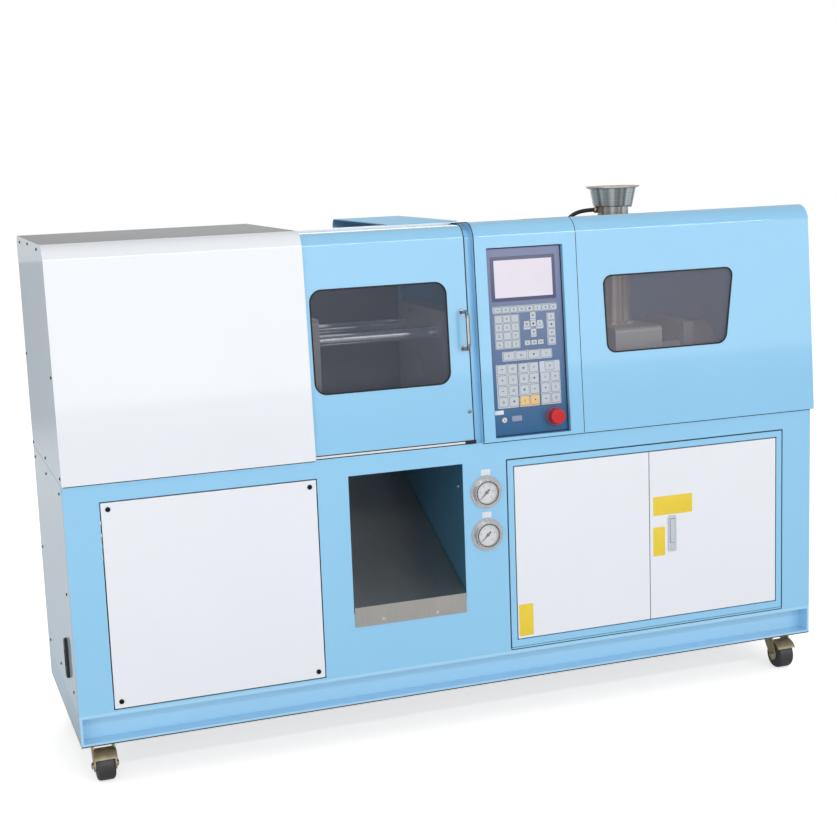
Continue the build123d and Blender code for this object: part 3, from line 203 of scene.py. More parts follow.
def seen_directly(finish):
    """One where the camera looks, also through glass, less in mirrors, zero for other rays."""
    rays = finish.node("LightPath").socket.node.outputs
    camera_ray = Value(finish, rays["Is Camera Ray"])
    glossy_ray = Value(finish, rays["Is Glossy Ray"])
    glass_ray = Value(finish, rays["Is Transmission Ray"])
    seen = camera_ray + glass_ray + MIRROR_SHARE * glossy_ray
    return finish.node("Math", {"operation": "MINIMUM"}, {0: seen, 1: 1.0})


backdrop = room.tree.nodes["Background"]
room.feed(backdrop.inputs["Color"], (1.0, 1.0, 1.0, 1.0))
room.feed(backdrop.inputs["Strength"], AMBIENT + (1 - AMBIENT) * seen_directly(room))
bpy.context.scene.view_settings.view_transform = "Standard"
print("world gives", AMBIENT, "as a lamp and 1 to the eye")

# %% Floor
FLOOR_SIDE = 40.0
FLOOR_GLOW = 0.62
FLOOR_TONE = 0.86
bpy.ops.mesh.primitive_plane_add(size=FLOOR_SIDE)
floor = bpy.context.object
floor.name = "floor"


def floor_paint():
    paint = Finish("floor_white")
    camera_ray = paint.node("LightPath", out="Is Camera Ray")
    glow = paint.mix(camera_ray, (0, 0, 0, 1), (FLOOR_GLOW, FLOOR_GLOW, FLOOR_GLOW, 1))
    tone = (FLOOR_TONE, FLOOR_TONE, FLOOR_TONE, 1)
    return paint.shade({
        "Base Color": tone,
        "Roughness": 0.9,
        "Emission Color": glow,
        "Emission Strength": 1.0,
    })


floor.data.materials.append(floor_paint())
print("floor", FLOOR_SIDE, "m wide")

# %% Lamps
# Name, place, what it is aimed at, the two sides in metres, and watts.
LAMPS = (
    ("front_softbox", (1.6, -4.7, 1.75), (1.6, 0.0, 1.75), (6.4, 1.9), 46.0),
    ("strip_light", (0.4, -3.9, 2.8), (0.4, 0.0, 0.9), (6.0, 0.2), 40.0),
    ("left_fill", (-3.2, -3.2, 0.7), (-0.5, 0.0, 0.5), (2.4, 1.2), 19.0),
    ("top_softbox", (0.2, -0.6, 4.2), (0.0, 0.1, 0.8), (3.2, 3.2), 5.0),
    ("rear_fill", (0.6, 4.6, 1.8), (0.0, 0.0, 0.7), (2.6, 2.6), 50.0),
)
for lamp_name, lamp_place, lamp_target, lamp_sides, lamp_watts in LAMPS:
    bpy.ops.object.light_add(type="AREA", location=lamp_place)
    lamp = bpy.context.object
    lamp.name = lamp_name
    lamp.data.shape = "RECTANGLE"
    lamp.data.size, lamp.data.size_y = lamp_sides
    lamp.data.energy = lamp_watts
    line = Vector(lamp_target) - Vector(lamp_place)
    lamp.rotation_euler = line.to_track_quat("-Z", "Y").to_euler()
print("lamps:", len(LAMPS))

# %% [markdown]
# ## Powder coat
# The sheets are powder coated: one even colour with a fine orange peel and a slow wander of tone
# over a metre or so. Plain colour alone looks like a drawing, so the peel goes into the roughness
# and into a very shallow bump, and a thin clear coat gives the soft sheen of baked paint. A strip
# of light high in front of the machine draws a bright line along each bend. The roofs lie where
# nobody wipes them, so above a given height the paint is dull, and on the white cover the roof is
# painted grey: a painted reflection of a dim room, seen at a grazing angle. The blue roofs fall a
# little to the back, and the height that counts falls with them. The lowest few millimetres of the
# base rails are painted dark: a painted shadow along their foot.

# %% Painted sheets
BLUE = (150, 211, 248)
WHITE = (243, 246, 252)
GREY = (150, 156, 162)
# The chute's walls are the machine's blue paint; their deep blue is painted shade, for the chute's
# inside that the lamps hardly reach.
SHADED_BLUE = (58, 104, 130)
# The end panels are white like the cover; their bluer, darker white is painted shade for the
# machine's ends.
SHADED_WHITE = (204, 233, 255)
# The grey of the white cover's roof is a painted reflection of a dim room at a grazing angle.
ROOF_REFLECTION_GREY = (150, 152, 155)
# The rails have the base's blue paint, here painted paler: painted light that offsets the shade and
# blue bounce in their channel.
RAIL_LIT_BLUE = (172, 222, 251)
ROOF_DEGREES = 3
ROOF_FALL = math.tan(math.radians(ROOF_DEGREES))
ROOF_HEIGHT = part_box("clamp_cover")[1].z
ROOF_FRONT = -259.4 * MM
ROOF_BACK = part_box("clamp_cover")[1].y - 4 * MM
RAIL_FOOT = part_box("base_front")[0].z - 78 * MM
ABOVE_ALL = 10.0


def powder_coat(name, colour, rough=0.36, coat=0.9, dull_above=ABOVE_ALL, fall=0.0, roof_reflection=None,
                painted_shade_below=0.0):
    paint = Finish(name)
    wander = paint.noise(2.2)
    peel = paint.noise(520.0, 1.0)
    deep, up = paint.axes()[1:]
    # Above the roof line the coat goes dull, and the colour may turn to a given grey: a painted
    # reflection.
    dull = (up + fall * (deep - ROOF_FRONT) > dull_above) * (deep < ROOF_BACK)
    clean = paint.mix(wander, tint(*colour, 0.95), tint(*colour))
    # Below a given height the colour turns almost black: a painted shadow along the foot of the
    # base rails.
    body = paint.mix(up < painted_shade_below, clean, tint(*colour, 0.06))
    return paint.shade({
        "Base Color": paint.mix(dull, body, tint(*(roof_reflection or colour))),
        "Roughness": rough + 0.10 * (peel - 0.5) + 0.06 * (wander - 0.5) + 0.25 * dull,
        "Specular IOR Level": 0.12,
        "Coat Weight": coat - coat * dull,
        "Coat Roughness": 0.06,
        "Coat IOR": 1.65,
        "Normal": paint.bump(peel, 0.06 * MM, 0.35),
    })


def dress(material, *names):
    """Give CAD nodes a finish in place of the plain one that they came with."""
    for name in names:
        piece = nodes[name]
        piece.data.materials.clear()
        piece.data.materials.append(material)


print("powder coats:", BLUE, WHITE, GREY, SHADED_BLUE, SHADED_WHITE, RAIL_LIT_BLUE)

# %% Dress the painted sheets
BLUE_ROOF = ROOF_HEIGHT - 1 * MM
WHITE_ROOF = ROOF_HEIGHT - 0.5 * MM
dress(powder_coat("blue_coat", BLUE, dull_above=BLUE_ROOF, fall=ROOF_FALL),
      "base_front", "base_wrap", "bed_plate", "cabinet_box", "control_column", "safety_door",
      "injection_cover", "rear_guard")
dress(powder_coat("white_coat", WHITE, 0.34),
      "access_panel", "cabinet_door_left", "cabinet_door_right")
dress(powder_coat("cover_coat", WHITE, 0.34, dull_above=WHITE_ROOF, roof_reflection=ROOF_REFLECTION_GREY), "clamp_cover")
# The end panels get a painted shade of the white.
dress(powder_coat("end_shaded_coat", SHADED_WHITE), "end_panel_upper", "end_panel_lower")
dress(powder_coat("rail_coat", RAIL_LIT_BLUE, painted_shade_below=RAIL_FOOT + 3 * MM), "base_rails")
dress(powder_coat("chute_shaded_coat", SHADED_BLUE, 0.5, 0.1), "chute_walls")
dress(powder_coat("grey_coat", GREY, 0.45), "base_frame", "oil_tank", "power_unit", "rear_platen")
print("painted sheets are dressed")

# %% [markdown]
# ## Steel
# Bare steel shows how it was made: platens and bars are ground, so fine scratches run one way, and
# the chute is plain mill sheet with smudges where parts have slid. One function takes the run of
# the scratches as a stretch of the noise. Steel with a film of oil or fine brushing scatters more
# light than it mirrors, so its metal share is lower. The hopper was spun on a lathe: the bands of
# light that run towards its axis are a painted reflection in its colour, so its pattern reads only
# the direction from that axis, and its bright tone is warm to offset the blue that the roof throws
# on it. The door's lower rail is black with painted shade at its foot and under the door's foot,
# and one bright line between them is a painted highlight.

# %% Ground, spun and mill steel
def bare_steel(name, colour, rough, stretch, smudge=0.0, metal=1.0):
    steel = Finish(name)
    scratch = steel.noise(1.0, 3.0, stretch)
    cloud = steel.noise(9.0, 4.0)
    shine = steel.mix(scratch, tint(*colour, 0.72), tint(*colour))
    return steel.shade({
        "Base Color": steel.mix(smudge * cloud, shine, tint(*colour, 0.35)),
        "Metallic": metal,
        "Roughness": rough + 0.16 * (scratch - 0.5) + smudge * 0.5 * (cloud - 0.5),
        "Normal": steel.bump(scratch, 0.02 * MM, 0.3),
    })


def spun_steel(name, dark, bright, rough, axis, rim):
    """Painted reflection: bands of light round an axis, and an even tone on the rim above them."""
    steel = Finish(name)
    spot = steel.node("TexCoord", out="Object")
    flat = {"Vector": spot, "Location": (-axis.x, -axis.y, 0), "Scale": (1, 1, 0)}
    aside = steel.node("Mapping", {}, flat)
    outward = steel.node("VectorMath", {"operation": "NORMALIZE"}, {0: aside})
    band = steel.node("TexNoise", {}, {"Vector": outward, "Scale": 2.6, "Detail": 3.0})
    turning = steel.noise(1.0, 2.0, (2, 2, 900))
    below_rim = steel.axes()[2] < rim
    spread = 3.0 * (band - 0.5) * below_rim
    painted_reflection = steel.node("Math", {"operation": "ADD", "use_clamp": True}, {0: spread, 1: 0.54})
    return steel.shade({
        "Base Color": steel.mix(painted_reflection, tint(*dark), tint(*bright)),
        "Metallic": 0.35,
        "Roughness": rough + 0.14 * (turning - 0.5),
    })


def rubbed_rail(name, foot, head, edge):
    rail = Finish(name)
    height = rail.axes()[2]
    # Black bands of painted shade lie at the rail's foot and under the door's foot; the bright band
    # between them is a painted highlight, and above the door's foot the rail is bright steel.
    painted_highlight = (height > foot + edge) * (height < head - edge) + (height > head + edge)
    return rail.shade({
        "Base Color": rail.mix(painted_highlight, tint(44, 46, 50), tint(236, 237, 239)),
        "Metallic": 0.25 * painted_highlight,
        "Roughness": 0.5 - 0.2 * painted_highlight,
    })


# %% Dress the steel pieces
hopper_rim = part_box("hopper")[1].z - 5 * MM
# The bright tone is warm to offset the blue that the roof throws on the bowl: painted light.
hopper_steel = spun_steel("hopper_steel", (66, 60, 56), (255, 240, 226), 0.26,
                          centre_of("hopper_tube"), hopper_rim)
bright_steel = bare_steel("bright_steel", (214, 214, 216), 0.12, (10, 700, 700))
chrome = bare_steel("chrome", (158, 160, 165), 0.09, (60, 60, 60))
rail_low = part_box("door_rails")[0].z
door_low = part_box("safety_door")[0].z
dress(hopper_steel, "hopper", "hopper_tube")
dress(bright_steel, "clamp_ram", "screw")
dress(chrome, "door_handle")
dress(rubbed_rail("rubbed_rail", rail_low, door_low, 2.6 * MM), "door_rails")
dress(bare_steel("ground_steel", (176, 177, 180), 0.30, (12, 900, 900)),
      "ejector_bar", "cabinet_hinge_pins")
dress(bare_steel("mill_steel", (206, 203, 198), 0.34, (700, 14, 14), 0.4), "chute")
dress(bare_steel("platen_steel", (204, 204, 204), 0.42, (300, 12, 300), metal=0.25),
      "moving_platen", "fixed_platen", "feed_block", "injection_drive")
dress(bare_steel("bar_chrome", (240, 241, 244), 0.12, (10, 700, 700), metal=0.65),
      "tie_bars", "carriage_guides", "barrel")
dress(bare_steel("band_steel", (140, 136, 128), 0.38, (300, 40, 40), 0.3), "heater_bands")
dress(bare_steel("gauge_steel", (208, 209, 212), 0.2, (60, 60, 60), metal=0.75), "gauge_cases")
print("steel pieces are dressed")

# %% [markdown]
# ## Plastic, rubber and zinc
# Moulded parts have a fine spark-eroded grain that breaks up the highlight. The castor forks are
# zinc plated with a yellow chromate, which runs from gold to olive in soft clouds.

# %% Moulded and plated parts
def moulded(name, colour, rough=0.42, grain=0.05):
    plastic = Finish(name)
    speck = plastic.noise(1600.0, 2.0)
    drift = plastic.noise(14.0)
    return plastic.shade({
        "Base Color": plastic.mix(drift, tint(*colour, 0.9), tint(*colour)),
        "Roughness": rough + 0.12 * (speck - 0.5),
        "Normal": plastic.bump(speck, grain * MM, 0.3),
    })


def yellow_zinc(name):
    zinc = Finish(name)
    cloud = zinc.noise(42.0, 3.0)
    olive = zinc.mix(cloud, tint(150, 138, 104), tint(224, 212, 176))
    return zinc.shade({
        "Base Color": olive,
        "Metallic": 0.6,
        "Roughness": 0.34 + 0.14 * cloud,
        "Normal": zinc.bump(zinc.noise(300.0), 0.03 * MM, 0.4),
    })


def sight_bar(name, middle, half_width, half_height):
    """A black bar with a pale sight glass down the middle of its face."""
    bar = Finish(name)
    y, z = bar.axes()[1:]
    aside = y - middle.y
    rise = z - middle.z
    in_width = aside * aside < half_width * half_width
    in_height = rise * rise < half_height * half_height
    return bar.shade({
        "Base Color": bar.mix(in_width * in_height, tint(24, 25, 27), tint(214, 206, 168)),
        "Roughness": 0.5 - 0.35 * in_width * in_height,
    })


GEAR_PLATE_Y = -54.5 * MM
CONTACTORS_MM = (432, 607, 438, 598)


def switchgear(name):
    """The cabinet's plate is galvanised, its modules are grey, and three contactors are dark."""
    gear = Finish(name)
    x, y, z = gear.axes()
    left, right, foot, head = [edge * MM for edge in CONTACTORS_MM]
    on_plate = y > GEAR_PLATE_Y
    contactor = (x > left) * (x < right) * (z > foot) * (z < head) * (1 - on_plate)
    module = gear.mix(contactor, tint(188, 192, 190), tint(74, 77, 82))
    spangle = gear.noise(60.0, 3.0)
    zinc_tone = gear.mix(spangle, tint(150, 154, 156), tint(186, 190, 192))
    return gear.shade({
        "Base Color": gear.mix(on_plate, module, zinc_tone),
        "Metallic": 0.5 * on_plate,
        "Roughness": 0.5 - 0.12 * on_plate,
    })


# %% Dress the plastic and plated pieces
CORNERS = ("front_left", "rear_left", "front_right", "rear_right")
oil_middle = centre_of("oil_level_gauge")
black_plastic = moulded("black_plastic", (26, 27, 29), 0.5)
black_rubber_and_shade = moulded("black_rubber_and_shade", (20, 20, 21), 0.62, 0.1)
latch_plastic = moulded("latch_plastic", (206, 212, 219), 0.4)
zinc = yellow_zinc("yellow_zinc")
wheel_nylon = moulded("wheel_nylon", (58, 58, 60), 0.4, 0.12)
dress(latch_plastic, "latch_housing", "latch_paddle")
dress(zinc, *[f"castor_fork_{corner}" for corner in CORNERS])
dress(wheel_nylon, *[f"castor_wheel_{corner}" for corner in CORNERS])
dress(moulded("stop_red", (208, 16, 22), 0.28, 0.02), "estop_button")
dress(moulded("pointer_black", (24, 24, 26), 0.4), "gauge_pointer_upper", "gauge_pointer_lower")
dress(sight_bar("sight_bar", oil_middle, 5 * MM, 17 * MM), "oil_level_gauge")
dress(switchgear("switchgear"), "electrical_panel")
print("plastic and zinc pieces are dressed")

# %% [markdown]
# ## Windows, lenses and the control panel
# The door and the injection cover have windows of tinted acrylic. Glass that bends light would
# keep lamps out of the machine, so the pane is a film that lets part of the view through, with the
# clear gloss of the sheet on top. On the door the film is dark; on the injection cover it is pale,
# and that pale tone is a painted reflection of a bright room. The control panel is a printed
# membrane behind a matt film.

# %% Panes and panel
def tinted_pane(name, colour, cover):
    pane = Finish(name)
    haze = pane.noise(3.0)
    return pane.shade({
        "Base Color": tint(*colour),
        "Roughness": 0.03 + 0.03 * haze,
        "Alpha": cover,
        "IOR": 1.25,
    })


def membrane(name, foot_colour, head_colour, foot, head):
    """The printed film of the panel, whose blue pales towards the screen."""
    film = Finish(name)
    height = film.axes()[2]
    rise = film.node("MapRange", {}, {"Value": height, "From Min": foot, "From Max": head})
    grain = film.noise(1800.0, 1.0)
    return film.shade({
        "Base Color": film.mix(rise, tint(*foot_colour), tint(*head_colour)),
        "Roughness": 0.38 + 0.1 * (grain - 0.5),
        "Normal": film.bump(grain, 0.02 * MM, 0.3),
    })


panel_low, panel_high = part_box("hmi_panel")
panel_film = membrane("panel_film", (12, 92, 140), (134, 140, 172), panel_low.z, panel_high.z)
dress(panel_film, "hmi_panel")
dress(tinted_pane("door_pane", (92, 96, 108), 0.26), "door_window")
# The injection window's pale film is a painted reflection.
dress(tinted_pane("cover_pane", (176, 171, 180), 0.17), "injection_window")
dress(tinted_pane("lens_pane", (235, 238, 242), 0.10), "gauge_lenses")
# The screen is an unlit display; its pale lavender is a painted reflection of the white room.
dress(moulded("screen_glass", (238, 230, 242), 0.14, 0.0), "hmi_screen")
dress(moulded("key_film", (200, 208, 216), 0.4, 0.02), "hmi_keys")
print("panes and panel are dressed")

# %% [markdown]
# ## The hose from the hopper
# A black rubber hose leaves the brass fitting at the hopper's neck, arches over the roof and drops
# through the slot to the feed block. It is one smooth spline drawn along the points of its route,
# and it rides on the carriage with the hopper.

# %% Hose
HOSE_EXIT = (0.507, 0.01125, 1.288)
HOSE_RADIUS = 5.5 * MM
HOSE_ROUTE_MM = (
    (0, 0), (-36, 0), (-72, -14), (-98, -48), (-112, -100), (-114, -158), (-108, -216),
    (-100, -274), (-88, -308), (-56, -331), (-21, -331),
)
exit_x, exit_y, exit_z = HOSE_EXIT


def round_line(name, points, radius, kind, roundness):
    """A curve with a round section, drawn along a line of points."""
    line = bpy.data.curves.new(name, "CURVE")
    line.dimensions = "3D"
    line.bevel_depth = radius
    line.bevel_resolution = roundness
    line.use_fill_caps = True
    spline = line.splines.new(kind)
    spline.points.add(len(points) - 1)
    for point, spot in zip(spline.points, points):
        point.co = (*spot, 1.0)
    drawn = bpy.data.objects.new(name, line)
    bpy.context.collection.objects.link(drawn)
    return drawn


hose_points = [(exit_x + along * MM, exit_y, exit_z + up * MM) for along, up in HOSE_ROUTE_MM]
hose = round_line("hose_run", hose_points, HOSE_RADIUS, "NURBS", 6)
hose.data.resolution_u = 24
hose.data.splines[0].order_u = 3
hose.data.splines[0].use_endpoint_u = True
hose.data.materials.append(black_rubber_and_shade)
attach(hose, "carriage")
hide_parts("hopper_hose")

# %% [markdown]
# ## Working by hand, in code
# Screws, plates, gaskets and marks are modelled as one would by hand: add a primitive, open it,
# pick faces or edges by where they lie, then bevel, inset or extrude them. An operator works on
# all that is selected, so each piece starts from an empty selection.

# %% Hands
def drop_selection():
    bpy.ops.object.select_all(action="DESELECT")


def take(*pieces):
    """Select these pieces alone, with the first one active."""
    drop_selection()
    for piece in pieces:
        piece.select_set(True)
    bpy.context.view_layer.objects.active = pieces[0]


def begin(primitive, **sizes):
    """Add one primitive with nothing else selected, and open it for editing."""
    drop_selection()
    getattr(bpy.ops.mesh, f"primitive_{primitive}_add")(**sizes)
    bpy.ops.object.transform_apply(location=True, rotation=True, scale=True)
    bpy.ops.object.mode_set(mode="EDIT")
    return bpy.context.object


def pick(piece, kind, group, wanted):
    """Leave only those faces or edges of an open piece selected that are wanted."""
    bpy.ops.mesh.select_mode(type=kind)
    bpy.ops.mesh.select_all(action="DESELECT")
    bpy.ops.object.mode_set(mode="OBJECT")
    for part in getattr(piece.data, group):
        part.select = wanted(part)
    bpy.ops.object.mode_set(mode="EDIT")


def pick_top(piece):
    pick(piece, "FACE", "polygons", lambda face: face.normal.z > 0.999)


def pick_edges(piece, wanted):
    """Pick the edges whose two ends are wanted."""
    def ends_wanted(edge):
        return wanted(*[piece.data.vertices[end].co for end in edge.vertices])
    pick(piece, "EDGE", "edges", ends_wanted)


def pick_all():
    bpy.ops.mesh.select_all(action="SELECT")


def raise_faces(height):
    """Extrude what is selected by so many millimetres."""
    bpy.ops.mesh.extrude_region_move(TRANSFORM_OT_translate={"value": (0, 0, height * MM)})


def close(piece):
    """Turn every face outwards and leave edit mode."""
    pick_all()
    bpy.ops.mesh.normals_make_consistent(inside=False)
    bpy.ops.object.mode_set(mode="OBJECT")
    return piece


print("hands are ready")

# %% Places on the machine
LEAN = math.radians(3.78)
RIGHTWARD = Vector((1, 0, 0))
BACKWARD = Vector((0, 1, 0))
UPWARD = Vector((0, 0, 1))
UP_THE_SLOPE = Vector((0, math.sin(LEAN), math.cos(LEAN)))
FACINGS = {
    "front": (RIGHTWARD, UPWARD),
    "slope": (RIGHTWARD, UP_THE_SLOPE),
    "left": (-BACKWARD, UPWARD),
    "right": (BACKWARD, UPWARD),
    "down": (RIGHTWARD, -BACKWARD),
}
front_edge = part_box("base_front")[0].y


def seat(spot, facing, turn=0.0):
    """The place of a piece that was modelled lying on the XY plane, once it stands on a face."""
    across, up = FACINGS[facing]
    basis = Matrix((across, up, across.cross(up))).transposed().to_4x4()
    return Matrix.Translation(spot) @ basis @ turned(turn, "Z")


def on_slope(node, x, z, inset=0.0):
    """A point on the leaning front of a cover, or so far behind it."""
    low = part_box(node)[0]
    return Vector((x, low.y + (z - low.z) * math.tan(LEAN) + inset / math.cos(LEAN), z))


def on_front(node, x, z):
    return Vector((x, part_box(node)[0].y, z))


def face_sides(low, high):
    """The width and height of an upright face, in millimetres."""
    return (high.x - low.x) / MM, (high.z - low.z) / MM


print("facings:", ", ".join(FACINGS))

# %% Joining and fitting
SMOOTH_BELOW = math.radians(35)


def gather(pieces):
    """Settle pieces where they stand and join them into one."""
    take(*pieces)
    bpy.ops.object.transform_apply(location=True, rotation=True, scale=True)
    if len(pieces) > 1:
        bpy.ops.object.join()
    return bpy.context.object


def stamp(pattern, places):
    """One piece from copies of a pattern, each with a mesh of its own."""
    copies = []
    for place in places:
        copy = bpy.data.objects.new(pattern.name, pattern.data.copy())
        bpy.context.collection.objects.link(copy)
        copy.matrix_world = place
        copies.append(copy)
    bpy.data.objects.remove(pattern)
    return gather(copies)


def fit(piece, name, material, slot=None, body="frame"):
    """Name a finished piece, smooth it, give it its finish and let it ride on a body."""
    piece.name = name
    piece.data.name = name
    piece.data.materials.clear()
    piece.data.materials.append(material)
    take(piece)
    bpy.ops.object.shade_smooth_by_angle(angle=SMOOTH_BELOW)
    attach(piece, body)
    print(name, "has", len(piece.data.polygons), "faces and rides on", body)


def mount(pattern, places, name, material, slot=None, body="frame"):
    """Copy a pattern to its places and fit the copies as one piece."""
    fit(stamp(pattern, places), name, material, slot, body)


# %% [markdown]
# ## Patterns that repeat
# A few small forms cover most of what is fitted to the sheets: a plate with round corners, a ring
# of any outline, a button-head screw and a hexagon bolt head. Each is modelled lying on the
# ground, with its sizes in millimetres, and is set against its face afterwards.

# %% Plate, ring and screw heads
def plate(width, height, sheet, corner, edge=0.25):
    """A plate with round corners and a soft upper edge."""
    thick = sheet * MM
    size = (width * MM, height * MM, thick)
    piece = begin("cube", size=1, location=(0, 0, thick / 2), scale=size)
    pick_edges(piece, lambda first, second: abs(first.z - second.z) > thick / 2)
    bpy.ops.mesh.bevel(offset=corner * MM, segments=4, affect="EDGES")
    pick_top(piece)
    bpy.ops.mesh.bevel(offset=edge * MM, segments=2, affect="EDGES")
    return close(piece)


def ring(width, height, sheet, corner, band, foot_share=1.0, foot_middle=0.0, steps=5):
    """A flat band inside an outline; the outline's lower edge may be shorter than its upper one."""
    piece = begin("plane", size=1)
    bpy.ops.transform.resize(value=(width * MM, height * MM, 1), center_override=(0, 0, 0))
    pick_edges(piece, lambda first, second: max(first.y, second.y) < 0)
    foot = (foot_middle * MM, -height * MM / 2, 0)
    bpy.ops.transform.resize(value=(foot_share, 1, 1), center_override=foot)
    pick_all()
    bpy.ops.mesh.bevel(offset=corner * MM, segments=steps, affect="VERTICES")
    pick_top(piece)
    bpy.ops.mesh.inset(thickness=band * MM)
    bpy.ops.mesh.delete(type="FACE")
    pick_all()
    raise_faces(sheet)
    return close(piece)


def hoop(radius, sheet, band, steps=5):
    """A round ring: its corners are rounded until they all but meet."""
    return ring(2 * radius, 2 * radius, sheet, radius - 0.1, band, steps=steps)


def bolt_head(sides, radius, height, bevel, steps, inset, rise):
    """A head with a soft upper edge, whose inner face is then raised or sunk."""
    piece = begin("cylinder", vertices=sides, radius=radius * MM, depth=height * MM,
                  location=(0, 0, height * MM / 2))
    pick_top(piece)
    bpy.ops.mesh.bevel(offset=bevel * height * MM, segments=steps, affect="EDGES")
    pick_top(piece)
    bpy.ops.mesh.inset(thickness=inset * radius * MM)
    raise_faces(rise * height)
    return close(piece)


def button_screw(radius, height):
    return bolt_head(20, radius, height, bevel=0.6, steps=3, inset=0.28, rise=-0.5)


def hexagon_head(radius, height):
    return bolt_head(6, radius, height, bevel=0.2, steps=2, inset=0.25, rise=0.15)


def corners_of(low, high, inset):
    """The four corners of an upright face, moved inwards."""
    columns = (low.x + inset, high.x - inset)
    rows = (low.z + inset, high.z - inset)
    return [(x, z) for x in columns for z in rows]


print("patterns: plate, ring, hoop, button screw, hexagon head")

# %% [markdown]
# ## Screws
# The access panel is held by four black button heads, the chute's lip by two bright ones and its
# wall by one, and the end panels by rows of small dark screws along their edges.

# %% Screws of the access panel and the chute
black_oxide = bare_steel("black_oxide", (44, 45, 48), 0.42, (60, 60, 60))
panel_corners = corners_of(*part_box("access_panel"), 16 * MM)
access_seats = [seat(on_front("access_panel", x, z), "front") for x, z in panel_corners]
mount(button_screw(6, 3.2), access_seats, "access_screws", black_oxide, "black_plastic")

LIP_SCREWS_MM = ((-239, 317), (-96, 314))
lip_seats = [seat(on_front("chute", x * MM, z * MM), "front") for x, z in LIP_SCREWS_MM]
mount(button_screw(5.2, 2.4), lip_seats, "chute_screws", bright_steel, "chute_steel")

WALL_SCREW_Y, WALL_SCREW_Z = -0.258, 0.626
wall_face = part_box("chute_walls")[1].x - 4.5 * MM
wall_seat = seat((wall_face, WALL_SCREW_Y, WALL_SCREW_Z), "left")
mount(button_screw(5, 2.4), [wall_seat], "chute_wall_screw", bright_steel, "chute_steel")

# %% Screws of the end panels
UPPER_END_MM = (
    (142, 1168), (335, 1172), (526, 1168), (40, 880), (581, 876), (18, 648), (310, 646), (585, 640),
)
LOWER_END_MM = (
    (61, 604), (320, 604), (565, 604), (66, 360), (565, 360), (72, 116), (320, 112), (546, 108),
)
end_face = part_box("end_panel_upper")[0].x
end_seats = [
    seat((end_face, front_edge + deep * MM, RAIL_FOOT + up * MM), "left")
    for deep, up in UPPER_END_MM + LOWER_END_MM
]
mount(button_screw(3.6, 1.6), end_seats, "end_screws", black_oxide, "black_plastic")

# %% [markdown]
# ## Pressure gauges
# Each gauge has a steel case with a front flange, a white dial behind a lens in a black seal, and
# a black pointer that stands at zero, low on the left. Marks run three quarters of a turn
# clockwise with a plain number at each fifth one. Numbers start as text and become a mesh before
# they are placed.

# %% Dials
dial_white = moulded("dial_white", (240, 241, 242), 0.5, 0.0)
print_black = moulded("print_black", (34, 36, 40), 0.5, 0.0)
lens_low, lens_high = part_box("gauge_lenses")
LENS_RADIUS = (lens_high.x - lens_low.x) / 2
gauge_x = (lens_low.x + lens_high.x) / 2
gauge_heights = (lens_low.z + LENS_RADIUS, lens_high.z - LENS_RADIUS)
bezel_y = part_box("gauge_cases")[0].y
dial_y = bezel_y + 9 * MM
DIAL_RADIUS = 28 * MM
DIAL_SHEET = 0.6 * MM
DIAL_RIM = 1.2 * MM


def dial_disc():
    piece = begin("cylinder", vertices=48, radius=DIAL_RADIUS, depth=DIAL_SHEET,
                  location=(0, 0, DIAL_SHEET / 2))
    pick_top(piece)
    bpy.ops.mesh.inset(thickness=DIAL_RIM)
    raise_faces(-0.2)
    return close(piece)


def gauge_seats(y, rise=0.0, aside=0.0):
    """A place on each of the two gauges, so far above and right of its middle."""
    return [seat((gauge_x + aside, y, z + rise), "front") for z in gauge_heights]


mount(dial_disc(), gauge_seats(dial_y), "gauge_dials", dial_white, "gauge_steel")

# %% Marks and numbers on the dials
ZERO_TURN = 225.0
FULL_SWEEP = 270.0
DIAL_STEPS = 25
STEPS_PER_NUMBER = 5
LONG_MARK = (4.2, 0.8)
SHORT_MARK = (2.4, 0.45)
MARK_CIRCLE = 23.4 * MM
NUMBER_CIRCLE = 17.6 * MM
mark_y = dial_y - DIAL_SHEET + 0.1 * MM


def round_gauge(y, z, radius, degrees):
    """A point on a circle round a gauge's axis."""
    angle = math.radians(degrees)
    return Vector((gauge_x + radius * math.cos(angle), y, z + radius * math.sin(angle)))


def figure(words, size):
    """Plain numbers as a thin mesh lying on the XY plane, so many millimetres tall."""
    drop_selection()
    bpy.ops.object.text_add()
    text = bpy.context.object
    text.data.body = words
    text.data.size = size * MM
    text.data.align_x = "CENTER"
    text.data.align_y = "CENTER"
    text.data.extrude = 0.08 * MM
    text.data.resolution_u = 3
    bpy.ops.object.convert(target="MESH")
    return bpy.context.object


def dial_marks(z):
    marks = []
    for step in range(DIAL_STEPS + 1):
        degrees = ZERO_TURN - FULL_SWEEP * step / DIAL_STEPS
        numbered = step % STEPS_PER_NUMBER == 0
        mark = plate(*(LONG_MARK if numbered else SHORT_MARK), 0.2, 0.1, 0.05)
        mark.matrix_world = seat(round_gauge(mark_y, z, MARK_CIRCLE, degrees), "front", degrees)
        marks.append(mark)
        if numbered:
            number = figure(str(step), 4.6)
            number.matrix_world = seat(round_gauge(mark_y, z, NUMBER_CIRCLE, degrees), "front")
            marks.append(number)
    return marks


all_marks = [mark for z in gauge_heights for mark in dial_marks(z)]
fit(gather(all_marks), "gauge_marks", print_black, "pointer_black")

# %% Gauge seals, screws and tags
RUBBER_AND_SHADE = (black_rubber_and_shade, "hose_rubber")
lens_seal = hoop(LENS_RADIUS / MM + 1.6, 0.5, 1.9, steps=12)
mount(lens_seal, gauge_seats(bezel_y), "lens_seals", *RUBBER_AND_SHADE)

FLANGE_TURNS = (90, 210, 330)
FLANGE_CIRCLE = 37.5 * MM
flange_y = front_edge - 2 * MM
flange_seats = [
    seat(round_gauge(flange_y, z, FLANGE_CIRCLE, turn), "front")
    for z in gauge_heights
    for turn in FLANGE_TURNS
]
mount(button_screw(3.4, 1.8), flange_seats, "gauge_screws", bright_steel, "gauge_steel")

